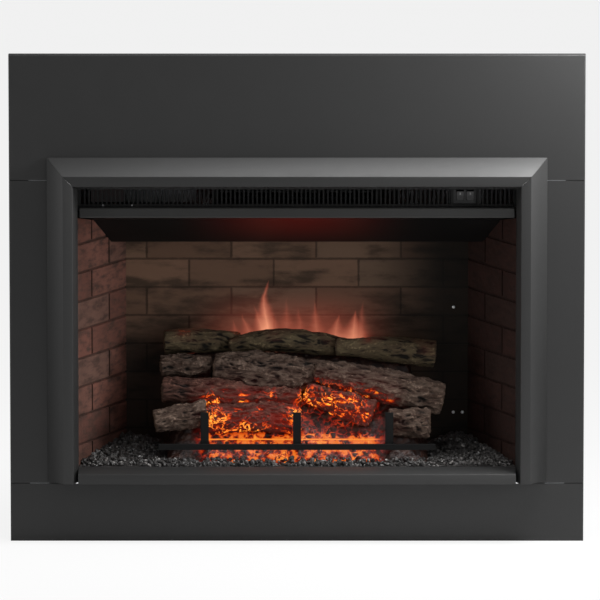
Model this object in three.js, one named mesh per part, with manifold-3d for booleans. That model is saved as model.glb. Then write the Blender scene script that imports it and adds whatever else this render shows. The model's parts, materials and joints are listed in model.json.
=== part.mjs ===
// Electric fireplace insert with a four-piece surround.
// Millimetres, +Z up. X runs along the front, Y runs into the wall.
// While the pieces are made, Y = 0 is the front face of the surround and Z = 0 its lower edge.
import * as THREE from 'three';
import { mergeVertices } from 'three/addons/utils/BufferGeometryUtils.js';
import Module from 'manifold-3d';

const wasm = await Module();
wasm.setup();

// ---------------------------------------------------------------- driving sizes
// Opening seen from the front, and the surround round it
const viewWidth = 813;
const viewHeight = 522;
const surroundDepth = 22;
const headerHeight = 234;
const footHeight = 109;
const legWidth = 108;
const openingSide = 19;
const openingRise = 46;
const surroundSheet = 1.5;
const surroundCorner = 2;
const seamGap = 1.2;

const railWidth = 36;
const railThickness = 2;
const railEnd = 18;

// Raised trim frame
const lipWidth = 8.2;
const lipFront = 18;
const flatWidth = 18.4;
const bevelWidth = 31;
const trimProud = 45;
const trimReturn = 8;
const trimSheet = 1.6;
const sillAboveFoot = 5;
const mitreGap = 0.15;

// Clearances
const seat = 0.3;
const slide = 0.6;

// Casing
const casingDepth = 305;
const casingMargin = 11.6;
const casingSheet = 1.5;
const casingFlange = 8.4;
const casingHem = 14;
const coverProud = 6;
const coverSheet = 1.2;
const coverHalf = 190;
const coverRise = 34;
const coverHeight = 210;
const coverLap = 12;
const louvreHalf = 60;
const louvreGap = 44;
const louvreRise = 30;
const louvrePitch = 26;
const louvreRows = 6;
const louvreMouth = 6;
const ventSlots = 13;
const ventPitch = 22;
const ventWidth = 6;
const ventLength = 60;
const ventInset = 50;
const glandRadius = 9;
const glandFlange = 15;
const glandInset = 75;
const glandDrop = 60;
const riserInset = 96;
const riserFlange = 32;
const riserSheet = 2.5;
const riserSetback = 12;

// Firebox
const fireboxDepth = 206;
const wallTaper = 84.5;
const panelThickness = 9;
const screenThickness = 4;
const courseHeight = 53.7;
const brickLength = 159.6;
const mortarWidth = 5;
const mortarDepth = 2;
const printDepth = 1;
const courseDrop = 42;
const screenLap = 12;
const deckRise = 18;
const deckUpstand = 7;
const hoodSheet = 1.5;
const hoodGap = 1;
const hoodKnee = 75;
const hoodEdge = 153;
const hoodKneeDrop = 11;
const hoodSlope = 52;
const hoodLipDrop = 8;
const hoodTail = 16;

// Deflector bar and grille
const barHeight = 20;
const barDepth = 15.5;
const barDrop = 35.6;
const barEndGap = 4;
const barRadius = 3;
const barSheet = 1.4;
const grilleDepth = 8;
const grillePitch = 8.2;
const finWidth = 3;
const grilleBorder = 4;

// Controls
const rockerWidth = 13;
const rockerHeight = 19;
const rockerPitch = 18.6;
const rockerTilt = 10;
const rockersInset = 94.5;
const receiverInset = 54.5;
const rockerPivot = 5;
const rockerProud = 3;
const rockerPin = 1.5;
const switchDepth = 24;
const switchWall = 2;
const switchPlate = 3;
const receiverWidth = 60;
const receiverHeight = 26;
const receiverDepth = 12;
const boxLength = 130;
const boxDepth = 140;
const boxHeight = 62;
const boxFront = 110;
const boxGap = 40;

// Flame engine
const rotorRadius = 25;
const rotorLength = 560;
const rotorShaft = 3;
const rotorTabs = 16;
const rotorHeight = 78;
const bracketSheet = 2;
const bracketHalf = 14;
const motorRadius = 24;
const lampHalf = 230;
const lampWidth = 20;
const lampHeight = 9;
const lampDomes = 7;
const emberLampY = 90;
const templateSheet = 1;
const templateHeight = 190;
const templateFoot = 25;
const flameHeights = [70, 105, 140, 95, 150, 110, 80];
const flameSpacing = 68;

// Heater
const wheelRadius = 28;
const wheelLength = 300;
const wheelBlades = 16;
const scrollGap = 12;
const ductHeight = 34;
const elementDepth = 16;
const elementCells = 22;
const ductSheet = 1.4;
const wheelDepth = 190;
const wheelEndGap = 4;
const endSheet = 2;
const hangerWidth = 18;
const motorShaft = 4;
const bladeRoot = 0.74;
const bladeBow = 4.5;
const elementRail = 8;

// Hearth
const bedHalfWidth = 245;
const bedFront = 22;
const grateHalfWidth = 258;
const grateBar = 10;
const grateRise = 38;
const dogSpacing = 172;
const dogHeight = 68;
const dogFront = 24;
const dogBack = 33;
const dogLeg = 56;
const dogTail = 126;
const dogThickness = 15;

// ---------------------------------------------------------------- places worked out from them
const legHeight = viewHeight + openingRise;
const surroundWidth = viewWidth + 2 * (openingSide + legWidth);
const surroundHeight = headerHeight + legHeight + footHeight;
const surroundHalf = surroundWidth / 2;
const viewHalf = viewWidth / 2;
const backHalfWidth = viewHalf - wallTaper;
const rockersX = viewHalf - rockersInset;
const receiverX = receiverInset - viewHalf;
const trimWidth = lipWidth + flatWidth + bevelWidth;
const sillBottom = footHeight + sillAboveFoot;
const viewBottom = sillBottom + flatWidth + lipWidth;
const viewTop = viewBottom + viewHeight;
const casingHalf = viewHalf + casingMargin;
const casingInner = casingHalf - casingSheet;
const casingBottom = footHeight + 3;
const casingTop = viewTop + trimSheet + casingFlange;
const casingFront = -casingHem + 4;
const deckTop = casingBottom + casingSheet + deckRise;
const screenFront = trimReturn + 1 + fireboxDepth;
const screenBack = screenFront + screenThickness;
const wallFront = trimReturn + 1;
const barTop = viewTop - barDrop;
const barBottom = barTop - barHeight;
const barFront = -4;
const barBack = barFront + barDepth;
const hoodLip = barBack + seat;
const hoodKneeTop = barBottom - hoodKneeDrop;
const hoodEdgeTop = hoodKneeTop - hoodSlope;
const hoodLipTop = barTop - hoodLipDrop;
const hoodRear = screenBack + seat + hoodSheet;
const screenTop = hoodEdgeTop - hoodSheet - seat;
const grilleFront = trimReturn + 2;
const grilleBack = grilleFront + grilleDepth;
const grilleBottom = barTop + seat;
const grilleTop = viewTop + trimSheet + 4;
const grilleHalf = viewHalf + 4;

// ---------------------------------------------------------------- finishes
function finish(colour, roughness, metalness) {
  return new THREE.MeshStandardMaterial({ color: colour, roughness, metalness });
}

const powderCoat = finish('#3a3a3a', 0.6, 0.3);
const trimCoat = finish('#4b4b49', 0.55, 0.35);
const matteBlack = finish('#101010', 0.75, 0.2);
const glossBlack = finish('#0c0b0b', 0.25, 0.4);
const galvanised = finish('#8f9294', 0.45, 0.85);
const brightMetal = finish('#b4b6b8', 0.3, 0.95);
const brickClay = finish('#5a4238', 0.9, 0);
const screenPrint = finish('#4d3a30', 0.5, 0);
const logBark = finish('#4a3b31', 0.95, 0);
const logGreen = finish('#5b5a43', 0.9, 0);
const logEmber = finish('#7a2a16', 0.85, 0);
const emberResin = finish('#d8501a', 0.5, 0);
const stoneGrey = finish('#3c3a38', 0.9, 0);
const grateIron = finish('#17130f', 0.7, 0.5);
const controlPlastic = finish('#141414', 0.5, 0);
const rockerPlastic = finish('#1c1c1c', 0.35, 0);
const receiverPlastic = finish('#2a0d10', 0.2, 0);
const laminations = finish('#5b5751', 0.5, 0.7);

// ---------------------------------------------------------------- solids
function solidOf(geometry) {
  const plain = geometry.clone();
  plain.deleteAttribute('normal');
  plain.deleteAttribute('uv');
  const merged = mergeVertices(plain, 1e-4);
  return new wasm.Manifold(new wasm.Mesh({
    numProp: 3,
    vertProperties: new Float32Array(merged.attributes.position.array),
    triVerts: new Uint32Array(merged.index.array),
  }));
}

function geometryOf(solid) {
  const mesh = solid.getMesh();
  const geometry = new THREE.BufferGeometry();
  geometry.setAttribute('position', new THREE.BufferAttribute(new Float32Array(mesh.vertProperties), 3));
  geometry.setIndex(new THREE.BufferAttribute(new Uint32Array(mesh.triVerts), 1));
  geometry.computeVertexNormals();
  return geometry;
}

function cut(body, ...tools) {
  return geometryOf(tools.reduce((left, tool) => left.subtract(solidOf(tool)), solidOf(body)));
}

function join(body, ...others) {
  return geometryOf(others.reduce((sum, other) => sum.add(solidOf(other)), solidOf(body)));
}

function keep(body, region) {
  return geometryOf(solidOf(body).intersect(solidOf(region)));
}

function block(x0, x1, y0, y1, z0, z1) {
  const geometry = new THREE.BoxGeometry(x1 - x0, y1 - y0, z1 - z0);
  geometry.translate((x0 + x1) / 2, (y0 + y1) / 2, (z0 + z1) / 2);
  return geometry;
}

function mirrored(geometry) {
  const copy = geometry.index ? geometry.toNonIndexed() : geometry.clone();
  copy.scale(-1, 1, 1);
  const place = copy.attributes.position;
  for (let i = 0; i < place.count; i += 3) {
    const [x, y, z] = [place.getX(i + 1), place.getY(i + 1), place.getZ(i + 1)];
    place.setXYZ(i + 1, place.getX(i + 2), place.getY(i + 2), place.getZ(i + 2));
    place.setXYZ(i + 2, x, y, z);
  }
  copy.computeVertexNormals();
  return copy;
}

function moveVertices(geometry, move) {
  const place = geometry.attributes.position;
  const point = new THREE.Vector3();
  for (let i = 0; i < place.count; i += 1) {
    point.fromBufferAttribute(place, i);
    move(point);
    place.setXYZ(i, point.x, point.y, point.z);
  }
  return geometry;
}

// ---------------------------------------------------------------- outlines and extrusions
const forward = new THREE.Vector3(0, 1, 0);
const sideways = new THREE.Vector3(1, 0, 0);
const upward = new THREE.Vector3(0, 0, 1);

function outline(points) {
  return new THREE.Shape(points.map(([u, v]) => new THREE.Vector2(u, v)));
}

function rectangle(u0, u1, v0, v1) {
  return outline([[u0, v0], [u1, v0], [u1, v1], [u0, v1]]);
}

// The section of a bent sheet: its outer skin as a path, with the thickness laid to one side
function foldedSheet(points, thickness) {
  const skin = points.map(([u, v]) => new THREE.Vector2(u, v));
  const normals = skin.slice(1).map((point, i) => {
    const run = point.clone().sub(skin[i]).normalize();
    return new THREE.Vector2(-run.y, run.x);
  });
  const inner = skin.map((point, i) => {
    const before = normals[Math.max(i - 1, 0)];
    const after = normals[Math.min(i, normals.length - 1)];
    const middle = before.clone().add(after).normalize();
    return point.clone().addScaledVector(middle, thickness / middle.dot(after));
  });
  return new THREE.Shape([...skin, ...inner.reverse()]);
}

function extruded(shape, depth, curveSegments = 8) {
  return new THREE.ExtrudeGeometry(shape, { depth, bevelEnabled: false, curveSegments });
}

// A section drawn in (Y, Z), run along X
function alongX(shape, x0, x1, curveSegments) {
  const geometry = extruded(shape, x1 - x0, curveSegments);
  geometry.applyMatrix4(new THREE.Matrix4().makeBasis(forward, upward, sideways));
  return geometry.translate(x0, 0, 0);
}

// An outline drawn in (X, Z), given a thickness from y0 back to y1
function alongY(shape, y0, y1, curveSegments) {
  const geometry = extruded(shape, y1 - y0, curveSegments);
  geometry.applyMatrix4(new THREE.Matrix4().makeBasis(sideways, upward, forward.clone().negate()));
  return geometry.translate(0, y1, 0);
}

// A section drawn in (X, Y), run along Z
function alongZ(shape, z0, z1, curveSegments) {
  return extruded(shape, z1 - z0, curveSegments).translate(0, 0, z0);
}

function rod(radius, x0, x1, y, z, sides = 16) {
  const geometry = new THREE.CylinderGeometry(radius, radius, x1 - x0, sides);
  geometry.rotateZ(-Math.PI / 2);
  return geometry.translate((x0 + x1) / 2, y, z);
}

// ---------------------------------------------------------------- assembly
const insert = new THREE.Group();
insert.position.y = -(casingDepth + coverProud - trimProud) / 2;

function add(name, geometry, material) {
  const mesh = new THREE.Mesh(geometry, material);
  mesh.name = name;
  insert.add(mesh);
  return mesh;
}

function addPair(leftName, rightName, rightGeometry, material) {
  add(rightName, rightGeometry, material);
  add(leftName, mirrored(rightGeometry), material);
}

// ---------------------------------------------------------------- surround
// One pressed frame with rounded edges and a return all round, parted at the seams
function pressedSurround() {
  const inset = surroundCorner;
  const face = rectangle(-surroundHalf + inset, surroundHalf - inset, inset, surroundHeight - inset);
  const slab = new THREE.ExtrudeGeometry(face, {
    depth: surroundDepth,
    bevelThickness: surroundCorner,
    bevelSize: surroundCorner,
    bevelSegments: 2,
  });
  slab.applyMatrix4(new THREE.Matrix4().makeBasis(sideways, upward, forward.clone().negate()));
  slab.translate(0, surroundDepth + surroundCorner, 0);
  const wall = surroundSheet;
  const hollow = block(
    -surroundHalf + wall, surroundHalf - wall, wall, surroundDepth * 2, wall, surroundHeight - wall,
  );
  const reach = surroundHalf - legWidth;
  const opening = block(-reach, reach, -1, surroundDepth, footHeight, footHeight + legHeight);
  const behind = block(-surroundHalf, surroundHalf, surroundDepth, surroundDepth * 2, 0, surroundHeight);
  return cut(slab, hollow, opening, behind);
}

function buildSurround() {
  const frame = pressedSurround();
  const half = seamGap / 2;
  const legTop = footHeight + legHeight;
  const wide = surroundHalf + 1;
  const region = (x0, x1, z0, z1) => block(x0, x1, -1, surroundDepth + 1, z0, z1);
  add('surround_header', keep(frame, region(-wide, wide, legTop + half, surroundHeight + 1)), powderCoat);
  add('surround_foot', keep(frame, region(-wide, wide, -1, footHeight - half)), powderCoat);
  const rightLeg = keep(frame, region(0, wide, footHeight + half, legTop - half));
  addPair('surround_left', 'surround_right', rightLeg, powderCoat);

  const railX = surroundHalf - legWidth / 2;
  const railFront = surroundSheet + seat;
  const rail = block(
    railX - railWidth / 2, railX + railWidth / 2,
    railFront, railFront + railThickness,
    surroundSheet + railEnd, surroundHeight - surroundSheet - railEnd,
  );
  addPair('surround_rail_left', 'surround_rail_right', rail, galvanised);
}

// ---------------------------------------------------------------- trim frame
// The section, as distance out from the opening and distance forward of the surround
const trimSection = [
  [trimWidth, seat + trimSheet],
  [lipWidth + flatWidth, trimProud],
  [lipWidth, trimProud],
  [0, lipFront],
  [0, -trimReturn],
];

function buildTrim() {
  const sideShape = foldedSheet(trimSection.map(([out, proud]) => [viewHalf + out, -proud]), -trimSheet);
  const side = moveVertices(alongZ(sideShape, sillBottom, viewTop), (point) => {
    if (point.z > sillBottom + 1) {
      point.z = viewTop + (point.x - viewHalf) - mitreGap;
    }
  });
  addPair('trim_left', 'trim_right', side, trimCoat);

  const topShape = foldedSheet(trimSection.map(([out, proud]) => [-proud, viewTop + out]), trimSheet);
  const top = moveVertices(alongX(topShape, -viewHalf, viewHalf), (point) => {
    const reach = viewHalf + (point.z - viewTop) - mitreGap;
    point.x = Math.sign(point.x) * reach;
  });
  add('trim_top', top, trimCoat);

  const sillSection = [
    [-surroundSheet, viewBottom],
    [-lipFront, viewBottom],
    [-trimProud, viewBottom - lipWidth],
    [-trimProud, sillBottom],
    [-surroundSheet, sillBottom],
  ];
  const sillHalf = viewHalf - seat;
  add('trim_sill', alongX(foldedSheet(sillSection, trimSheet), -sillHalf, sillHalf), trimCoat);
}

// ---------------------------------------------------------------- casing
const coverLow = casingBottom + coverRise;
const coverHigh = coverLow + coverHeight;
const glandX = glandInset - casingHalf;
const glandZ = casingTop - glandDrop;

function buildCasing() {
  const sheet = casingSheet;
  const rear = casingDepth - sheet - seat;
  const low = casingBottom + sheet + seat;
  const high = casingTop - sheet - seat;
  const sideSection = foldedSheet([
    [viewHalf + trimSheet + seat, casingFront],
    [casingHalf, casingFront],
    [casingHalf, rear],
    [casingHalf - casingHem, rear],
  ], sheet);
  addPair('casing_left', 'casing_right', alongZ(sideSection, low, high), galvanised);

  const half = casingHalf;
  add('casing_base', block(-half, half, casingFront, rear, casingBottom, casingBottom + sheet), galvanised);

  const roof = foldedSheet([
    [casingFront, viewTop + trimSheet + seat],
    [casingFront, casingTop],
    [rear, casingTop],
  ], -sheet);
  const slots = [];
  const slotBack = casingDepth - ventInset;
  for (let i = 0; i < ventSlots; i += 1) {
    const x = (i - (ventSlots - 1) / 2) * ventPitch;
    slots.push(block(
      x - ventWidth / 2, x + ventWidth / 2, slotBack - ventLength, slotBack, high - casingHem, casingTop + 1,
    ));
  }
  // The front flange spans the opening only, so that it clears the flanges of the sides
  const corners = [-1, 1].map((side) => block(
    Math.min(side * viewHalf, side * half), Math.max(side * viewHalf, side * half),
    casingFront - 1, casingFront + sheet + 0.1, 0, high + seat,
  ));
  add('casing_top', cut(alongX(roof, -half, half), ...slots, ...corners), galvanised);

  const backShape = rectangle(-casingHalf, casingHalf, casingBottom, casingTop);
  const plate = alongY(backShape, casingDepth - sheet, casingDepth);
  const window = block(-coverHalf, coverHalf, 0, casingDepth * 2, coverLow, coverHigh);
  const glandHole = new THREE.CylinderGeometry(glandRadius + seat, glandRadius + seat, 20, 16);
  glandHole.translate(glandX, casingDepth, glandZ);
  add('casing_back', cut(plate, window, glandHole), galvanised);
}

// The rear cover: a screwed panel with pressed louvres over the flame engine
function buildRearCover() {
  const front = casingDepth + seat;
  const back = front + coverSheet;
  const proud = casingDepth + coverProud;
  const reach = coverHalf + coverLap;
  const shape = rectangle(-reach, reach, coverLow - coverLap, coverHigh + coverLap);
  const hoods = [];
  const mouths = [];
  for (const side of [-1, 1]) {
    for (let row = 0; row < louvreRows; row += 1) {
      const z = coverLow + louvreRise + row * louvrePitch;
      const x = side * (louvreHalf + louvreGap / 2);
      const section = outline([
        [back - 0.2, z + louvreMouth + 2],
        [proud - coverSheet, z],
        [proud, z],
        [back - 0.2, z + louvreMouth + 4],
      ]);
      hoods.push(alongX(section, x - louvreHalf, x + louvreHalf));
      mouths.push(block(x - louvreHalf + 3, x + louvreHalf - 3, front - 1, back + 1, z, z + louvreMouth));
    }
  }
  add('rear_cover', join(cut(alongY(shape, front, back), ...mouths), ...hoods), galvanised);
}

// Z-shaped channels, front to back, that lift the casing to the height of the foot panel
function buildRisers() {
  const top = casingBottom - seat - riserSheet;
  const middle = casingHalf - riserInset;
  const section = foldedSheet([
    [middle - riserFlange, 0],
    [middle, 0],
    [middle, top],
    [middle + riserFlange, top],
  ], riserSheet);
  const riser = alongY(section, surroundDepth + riserSetback, casingDepth - riserSetback);
  addPair('riser_left', 'riser_right', riser, galvanised);
}

// ---------------------------------------------------------------- firebox
const wallDepth = screenFront - seat - wallFront;
const wallLength = Math.hypot(wallTaper, wallDepth);
const courseTop = hoodEdgeTop - courseDrop;

// Grooves of a running bond, cut into a face that lies on w = 0 with the wall behind it
function mortarGrooves(u0, u1, v0, v1, firstJoint, firstCourse) {
  const grooves = [];
  const half = mortarWidth / 2;
  const top = firstCourse + courseHeight * Math.ceil((v1 - firstCourse) / courseHeight);
  let row = 0;
  for (let v = top; v > v0 - courseHeight; v -= courseHeight) {
    grooves.push([u0 - 1, u1 + 1, v - half, v + half]);
    const offset = row % 2 === 0 ? 0 : brickLength / 2;
    const start = firstJoint + offset - brickLength * Math.ceil((firstJoint + offset - u0) / brickLength);
    for (let u = start; u < u1; u += brickLength) {
      if (u > u0 + half) {
        grooves.push([u - half, u + half, v - courseHeight, v]);
      }
    }
    row += 1;
  }
  return grooves;
}

function buildBrickPanels() {
  const low = deckTop + seat;
  const slab = extruded(rectangle(0, wallLength, low, hoodLipTop), panelThickness);
  const joints = mortarGrooves(0, wallLength, low, hoodLipTop, wallLength - brickLength / 2, courseTop);
  const tools = joints.map(([u0, u1, v0, v1]) => block(u0, u1, v0, v1, -1, mortarDepth));
  const panel = cut(slab, ...tools);
  const run = new THREE.Vector3(-wallTaper, wallDepth, 0).normalize();
  const outward = new THREE.Vector3(wallDepth, wallTaper, 0).normalize();
  panel.applyMatrix4(new THREE.Matrix4().makeBasis(run, upward, outward));
  panel.translate(viewHalf, wallFront, 0);
  const back = screenFront - seat;
  const underHood = outline([
    [-1, 0],
    [back, 0],
    [back, hoodEdgeTop - hoodSheet - hoodGap],
    [hoodEdge, hoodEdgeTop - hoodSheet - hoodGap],
    [hoodKnee, hoodKneeTop - hoodSheet - hoodGap],
    [-1, barBottom],
  ]);
  const room = alongX(underHood, 0, casingInner - seat);
  addPair('brick_panel_left', 'brick_panel_right', keep(panel, room), brickClay);
}

const screenHalf = backHalfWidth + screenLap;
const screenLow = deckTop + seat;

function buildFlameScreen() {
  const plate = block(-screenHalf, screenHalf, screenFront, screenBack, screenLow, screenTop);
  const firstJoint = brickLength / 4 - 4;
  const joints = mortarGrooves(-screenHalf, screenHalf, screenLow, screenTop, firstJoint, courseTop);
  const face = screenFront + printDepth;
  const tools = joints.map(([u0, u1, v0, v1]) => block(u0, u1, screenFront - 1, face, v0, v1));
  add('flame_screen', cut(plate, ...tools), screenPrint);
}

function buildHood() {
  const section = foldedSheet([
    [hoodLip, barBottom + 1],
    [hoodLip, hoodLipTop],
    [hoodKnee, hoodKneeTop],
    [hoodEdge, hoodEdgeTop],
    [hoodRear, hoodEdgeTop],
    [hoodRear, hoodEdgeTop - hoodTail],
  ], -hoodSheet);
  const reach = casingInner - seat;
  add('hood', alongX(section, -reach, reach), glossBlack);
}

function buildDeflectorBar() {
  const r = barRadius;
  const bow = (centreY, centreZ, from, to) => {
    const points = [];
    const steps = 4;
    for (let i = 0; i <= steps; i += 1) {
      const angle = (from + (to - from) * i / steps) * Math.PI / 180;
      points.push([centreY + r * Math.cos(angle), centreZ + r * Math.sin(angle)]);
    }
    return points;
  };
  const section = foldedSheet([
    [barBack, barBottom],
    ...bow(barFront + r, barBottom + r, 270, 180),
    ...bow(barFront + r, barTop - r, 180, 90),
    [barBack, barTop],
  ], -barSheet);
  const half = viewHalf - barEndGap;
  add('deflector_bar', alongX(section, -half, half), trimCoat);
}

// ---------------------------------------------------------------- grille and controls
const rockerWindow = rockerPitch + rockerWidth + 12;

function buildGrille() {
  const plate = block(-grilleHalf, grilleHalf, grilleFront, grilleBack, grilleBottom, grilleTop);
  const half = (grillePitch - finWidth) / 2;
  const slot = (x0, x1) => block(
    x0, x1, grilleFront - 1, grilleBack + 1, grilleBottom + grilleBorder, grilleTop - grilleBorder,
  );
  const windowLeft = rockersX - rockerWindow / 2;
  const windowRight = rockersX + rockerWindow / 2;
  const slots = [slot(windowLeft, windowRight)];
  const count = Math.floor((2 * grilleHalf - 4 * grilleBorder) / grillePitch);
  for (let i = 0; i < count; i += 1) {
    const x = (i - (count - 1) / 2) * grillePitch;
    if (x + half + finWidth < windowLeft || x - half - finWidth > windowRight) {
      slots.push(slot(x - half, x + half));
    }
  }
  add('louvre_grille', cut(plate, ...slots), matteBlack);
}

function buildSwitches() {
  const middle = (grilleBottom + grilleTop) / 2;
  const front = grilleBack + seat;
  const bodyDepth = switchDepth;
  const wall = switchWall;
  const plate = block(
    rockersX - rockerWindow / 2 - 8, rockersX + rockerWindow / 2 + 8,
    front, front + switchPlate, grilleBottom + 1, grilleTop - 1,
  );
  const bodies = [];
  const wells = [];
  const rockerX = [-1, 1].map((side) => rockersX + side * rockerPitch / 2);
  for (const x of rockerX) {
    const half = rockerWidth / 2 + wall;
    const tall = rockerHeight / 2 + wall;
    bodies.push(block(x - half, x + half, front, front + bodyDepth, middle - tall, middle + tall));
    wells.push(block(
      x - rockerWidth / 2 - slide, x + rockerWidth / 2 + slide,
      front - 1, front + bodyDepth - wall,
      middle - rockerHeight / 2 - slide, middle + rockerHeight / 2 + slide,
    ));
    wells.push(rod(rockerPin + seat, x - half - 1, x + half + 1, front + rockerPivot, middle, 12));
  }
  add('switch_panel', cut(join(plate, ...bodies), ...wells), controlPlastic);
  addRocker('power_rocker', rockerX[0], front + rockerPivot, middle);
  addRocker('heater_rocker', rockerX[1], front + rockerPivot, middle);
}

// A rocker: two flat paddles that meet in a shallow valley, on a round pivot pin

function addRocker(name, x, y, z) {
  const half = rockerHeight / 2;
  const face = -rockerPivot - rockerProud;
  const dish = Math.tan(rockerTilt * Math.PI / 180) * half;
  const section = outline([
    [face, half - 1],
    [face + 0.4 * dish, 0],
    [face, -half + 1],
    [face + 5, -half + 0.6],
    [1, -3],
    [4, 0],
    [1, 3],
    [face + 5, half - 0.6],
  ]);
  const paddle = alongX(section, -rockerWidth / 2, rockerWidth / 2);
  const pin = rod(rockerPin, -rockerWidth / 2 - 1.6, rockerWidth / 2 + 1.6, 0, 0, 12);
  const rocker = add(name, join(paddle, pin), rockerPlastic);
  rocker.rotation.x = rockerTilt * Math.PI / 180;
  rocker.position.set(x, y, z);
}

function buildReceiver() {
  const middle = (grilleBottom + grilleTop) / 2;
  const front = grilleBack + seat;
  const half = receiverWidth / 2;
  const tall = receiverHeight / 2;
  const board = block(
    receiverX - half, receiverX + half, front, front + receiverDepth, middle - tall, middle + tall,
  );
  const dome = new THREE.SphereGeometry(5, 12, 8);
  dome.translate(receiverX, front + 6, middle);
  const behind = block(
    receiverX - 6, receiverX + 6, front + 2, front + receiverDepth - 1, middle - 6, middle + 6,
  );
  const window = block(
    receiverX - half + 6, receiverX + half - 6, front - 1, front + 2, middle - tall + 4, middle + tall - 4,
  );
  add('remote_receiver', join(cut(board, window), dome, behind), receiverPlastic);
}

function buildControlBox() {
  const top = casingTop - casingSheet - seat;
  const bottom = top - boxHeight;
  const right = -wheelLength / 2 - boxGap;
  const left = right - boxLength;
  const body = block(left, right, boxFront, boxFront + boxDepth, bottom, top);
  const chamferTool = block(left - 1, right + 1, -10, 10, -10, 10);
  chamferTool.rotateX(Math.PI / 4);
  chamferTool.translate(0, boxFront, bottom);
  add('control_box', cut(body, chamferTool), galvanised);
}

// Round gland where the supply enters, turned about its own axis and seated in the back panel
function buildGland() {
  const profile = [
    [0, -14], [6, -14], [glandRadius, -11], [glandRadius, 0], [glandFlange, 0], [glandFlange, 3.5], [11, 5],
    [11, 5.6], [5, 5.6], [5, -6], [0, -6],
  ];
  const gland = new THREE.LatheGeometry(profile.map(([r, y]) => new THREE.Vector2(r, y)), 16);
  gland.translate(glandX, casingDepth + seat, glandZ);
  add('cord_gland', solidified(gland), controlPlastic);
}

function solidified(geometry) {
  const solid = solidOf(geometry);
  return geometryOf(solid.volume() > 0 ? solid : solidOf(flipped(geometry)));
}

function flipped(geometry) {
  const copy = geometry.clone();
  const index = copy.index;
  for (let i = 0; i < index.count; i += 3) {
    const second = index.getX(i + 1);
    index.setX(i + 1, index.getX(i + 2));
    index.setX(i + 2, second);
  }
  return copy;
}

// ---------------------------------------------------------------- hearth
function buildDeck() {
  const back = screenBack + seat;
  const section = foldedSheet([
    [0, casingBottom + casingSheet + seat],
    [0, deckTop],
    [back, deckTop],
    [back, deckTop + 14],
  ], -casingSheet);
  const frontLip = block(-viewHalf, viewHalf, 0, casingSheet, deckTop - 1, deckTop + deckUpstand);
  const reach = casingInner - seat;
  const lampSlot = (y) => block(-lampHalf + 20, lampHalf - 20, y, y + 14, deckTop - 10, deckTop + 10);
  const deck = cut(join(alongX(section, -reach, reach), frontLip), lampSlot(emberLampY - 7));
  const shelf = block(-reach, reach, back - 1, back + casingSheet, 0, deckTop - casingSheet);
  const trimRoom = [-1, 1].map((side) => {
    const [left, right] = [side * (viewHalf - seat), side * casingHalf].sort((a, b) => a - b);
    return block(left, right, -1, trimReturn + seat, 0, deckTop + deckUpstand + 1);
  });
  add('hearth_deck', cut(deck, shelf, ...trimRoom), galvanised);
}

// A closed block whose upper face follows height(x, y)
function relief(x0, x1, y0, y1, base, columns, rows, height) {
  const geometry = new THREE.BoxGeometry(x1 - x0, y1 - y0, 1, columns, rows, 1);
  geometry.translate((x0 + x1) / 2, (y0 + y1) / 2, 0);
  return moveVertices(geometry, (point) => {
    point.z = base + (point.z > 0 ? height(point.x, point.y) : 0);
  });
}

function ripple(x, y, phase) {
  return Math.sin(x * 0.11 + phase) * Math.sin(y * 0.17 + 2 * phase) * 0.6
    + Math.sin(x * 0.27 + y * 0.21 + 3 * phase) * 0.4;
}

// Depth and height of the ember bed, which climbs in steps behind the logs
const bedSteps = [[bedFront, 9], [45, 42], [70, 82], [95, 122], [125, 148], [150, 200], [182, 202]];
const bedBack = bedSteps[bedSteps.length - 1][0];

function bedHeight(x, y) {
  const after = Math.max(1, bedSteps.findIndex(([depth]) => depth >= y));
  const [y0, z0] = bedSteps[after - 1];
  const [y1, z1] = bedSteps[after];
  const rise = z0 + (z1 - z0) * (y - y0) / (y1 - y0);
  const fall = THREE.MathUtils.smoothstep(bedHalfWidth - Math.abs(x), -10, 42);
  return 6 + (rise - 6) * fall + 2.5 * ripple(x, y, 0.4);
}

// Logs: the axis as [across, depth, height above the deck] and the radius at each point
const logSizes = {
  log_middle_right: [[33, 92, 174, 17], [98, 92, 163, 26], [190, 90, 140, 33], [272, 88, 124, 27]],
  log_middle_centre: [[-154, 112, 181, 24], [-95, 110, 172, 36], [-20, 108, 167, 38], [61, 114, 168, 20]],
  log_rear_right: [[74, 135, 214, 15], [150, 138, 211, 22], [258, 142, 199, 27]],
  log_rear_centre: [
    [-126, 148, 214, 12], [-85, 150, 222, 19], [-26, 150, 225, 23], [40, 152, 217, 21], [100, 160, 208, 16],
  ],
  log_rear_left: [[-249, 162, 220, 22], [-180, 165, 221, 23], [-108, 168, 217, 19]],
  log_middle_left: [[-254, 120, 180, 19], [-205, 123, 182, 20], [-163, 124, 180, 18]],
  log_front_right_ember: [[18, 84, 136, 17], [80, 72, 118, 24], [138, 60, 98, 26]],
  log_front_left_ember: [[-166, 66, 90, 26], [-80, 64, 92, 28], [5, 64, 88, 26]],
  log_runner_left: [[-250, 86, 141, 22], [-130, 84, 134, 23], [5, 84, 127, 17]],
  log_stub_left: [[-264, 50, 86, 19], [-215, 54, 95, 22], [-171, 58, 104, 21]],
  log_split_right: [[174, 62, 84, 23], [210, 59, 84, 26], [246, 56, 80, 25]],
};
const greenLogs = ['log_rear_left', 'log_rear_centre', 'log_rear_right'];
const emberLogs = ['log_front_left_ember', 'log_front_right_ember', 'log_runner_left'];
const flatWithin = 0.05;
const logSides = 12;
const logRings = 9;
const logDome = 3;

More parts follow.
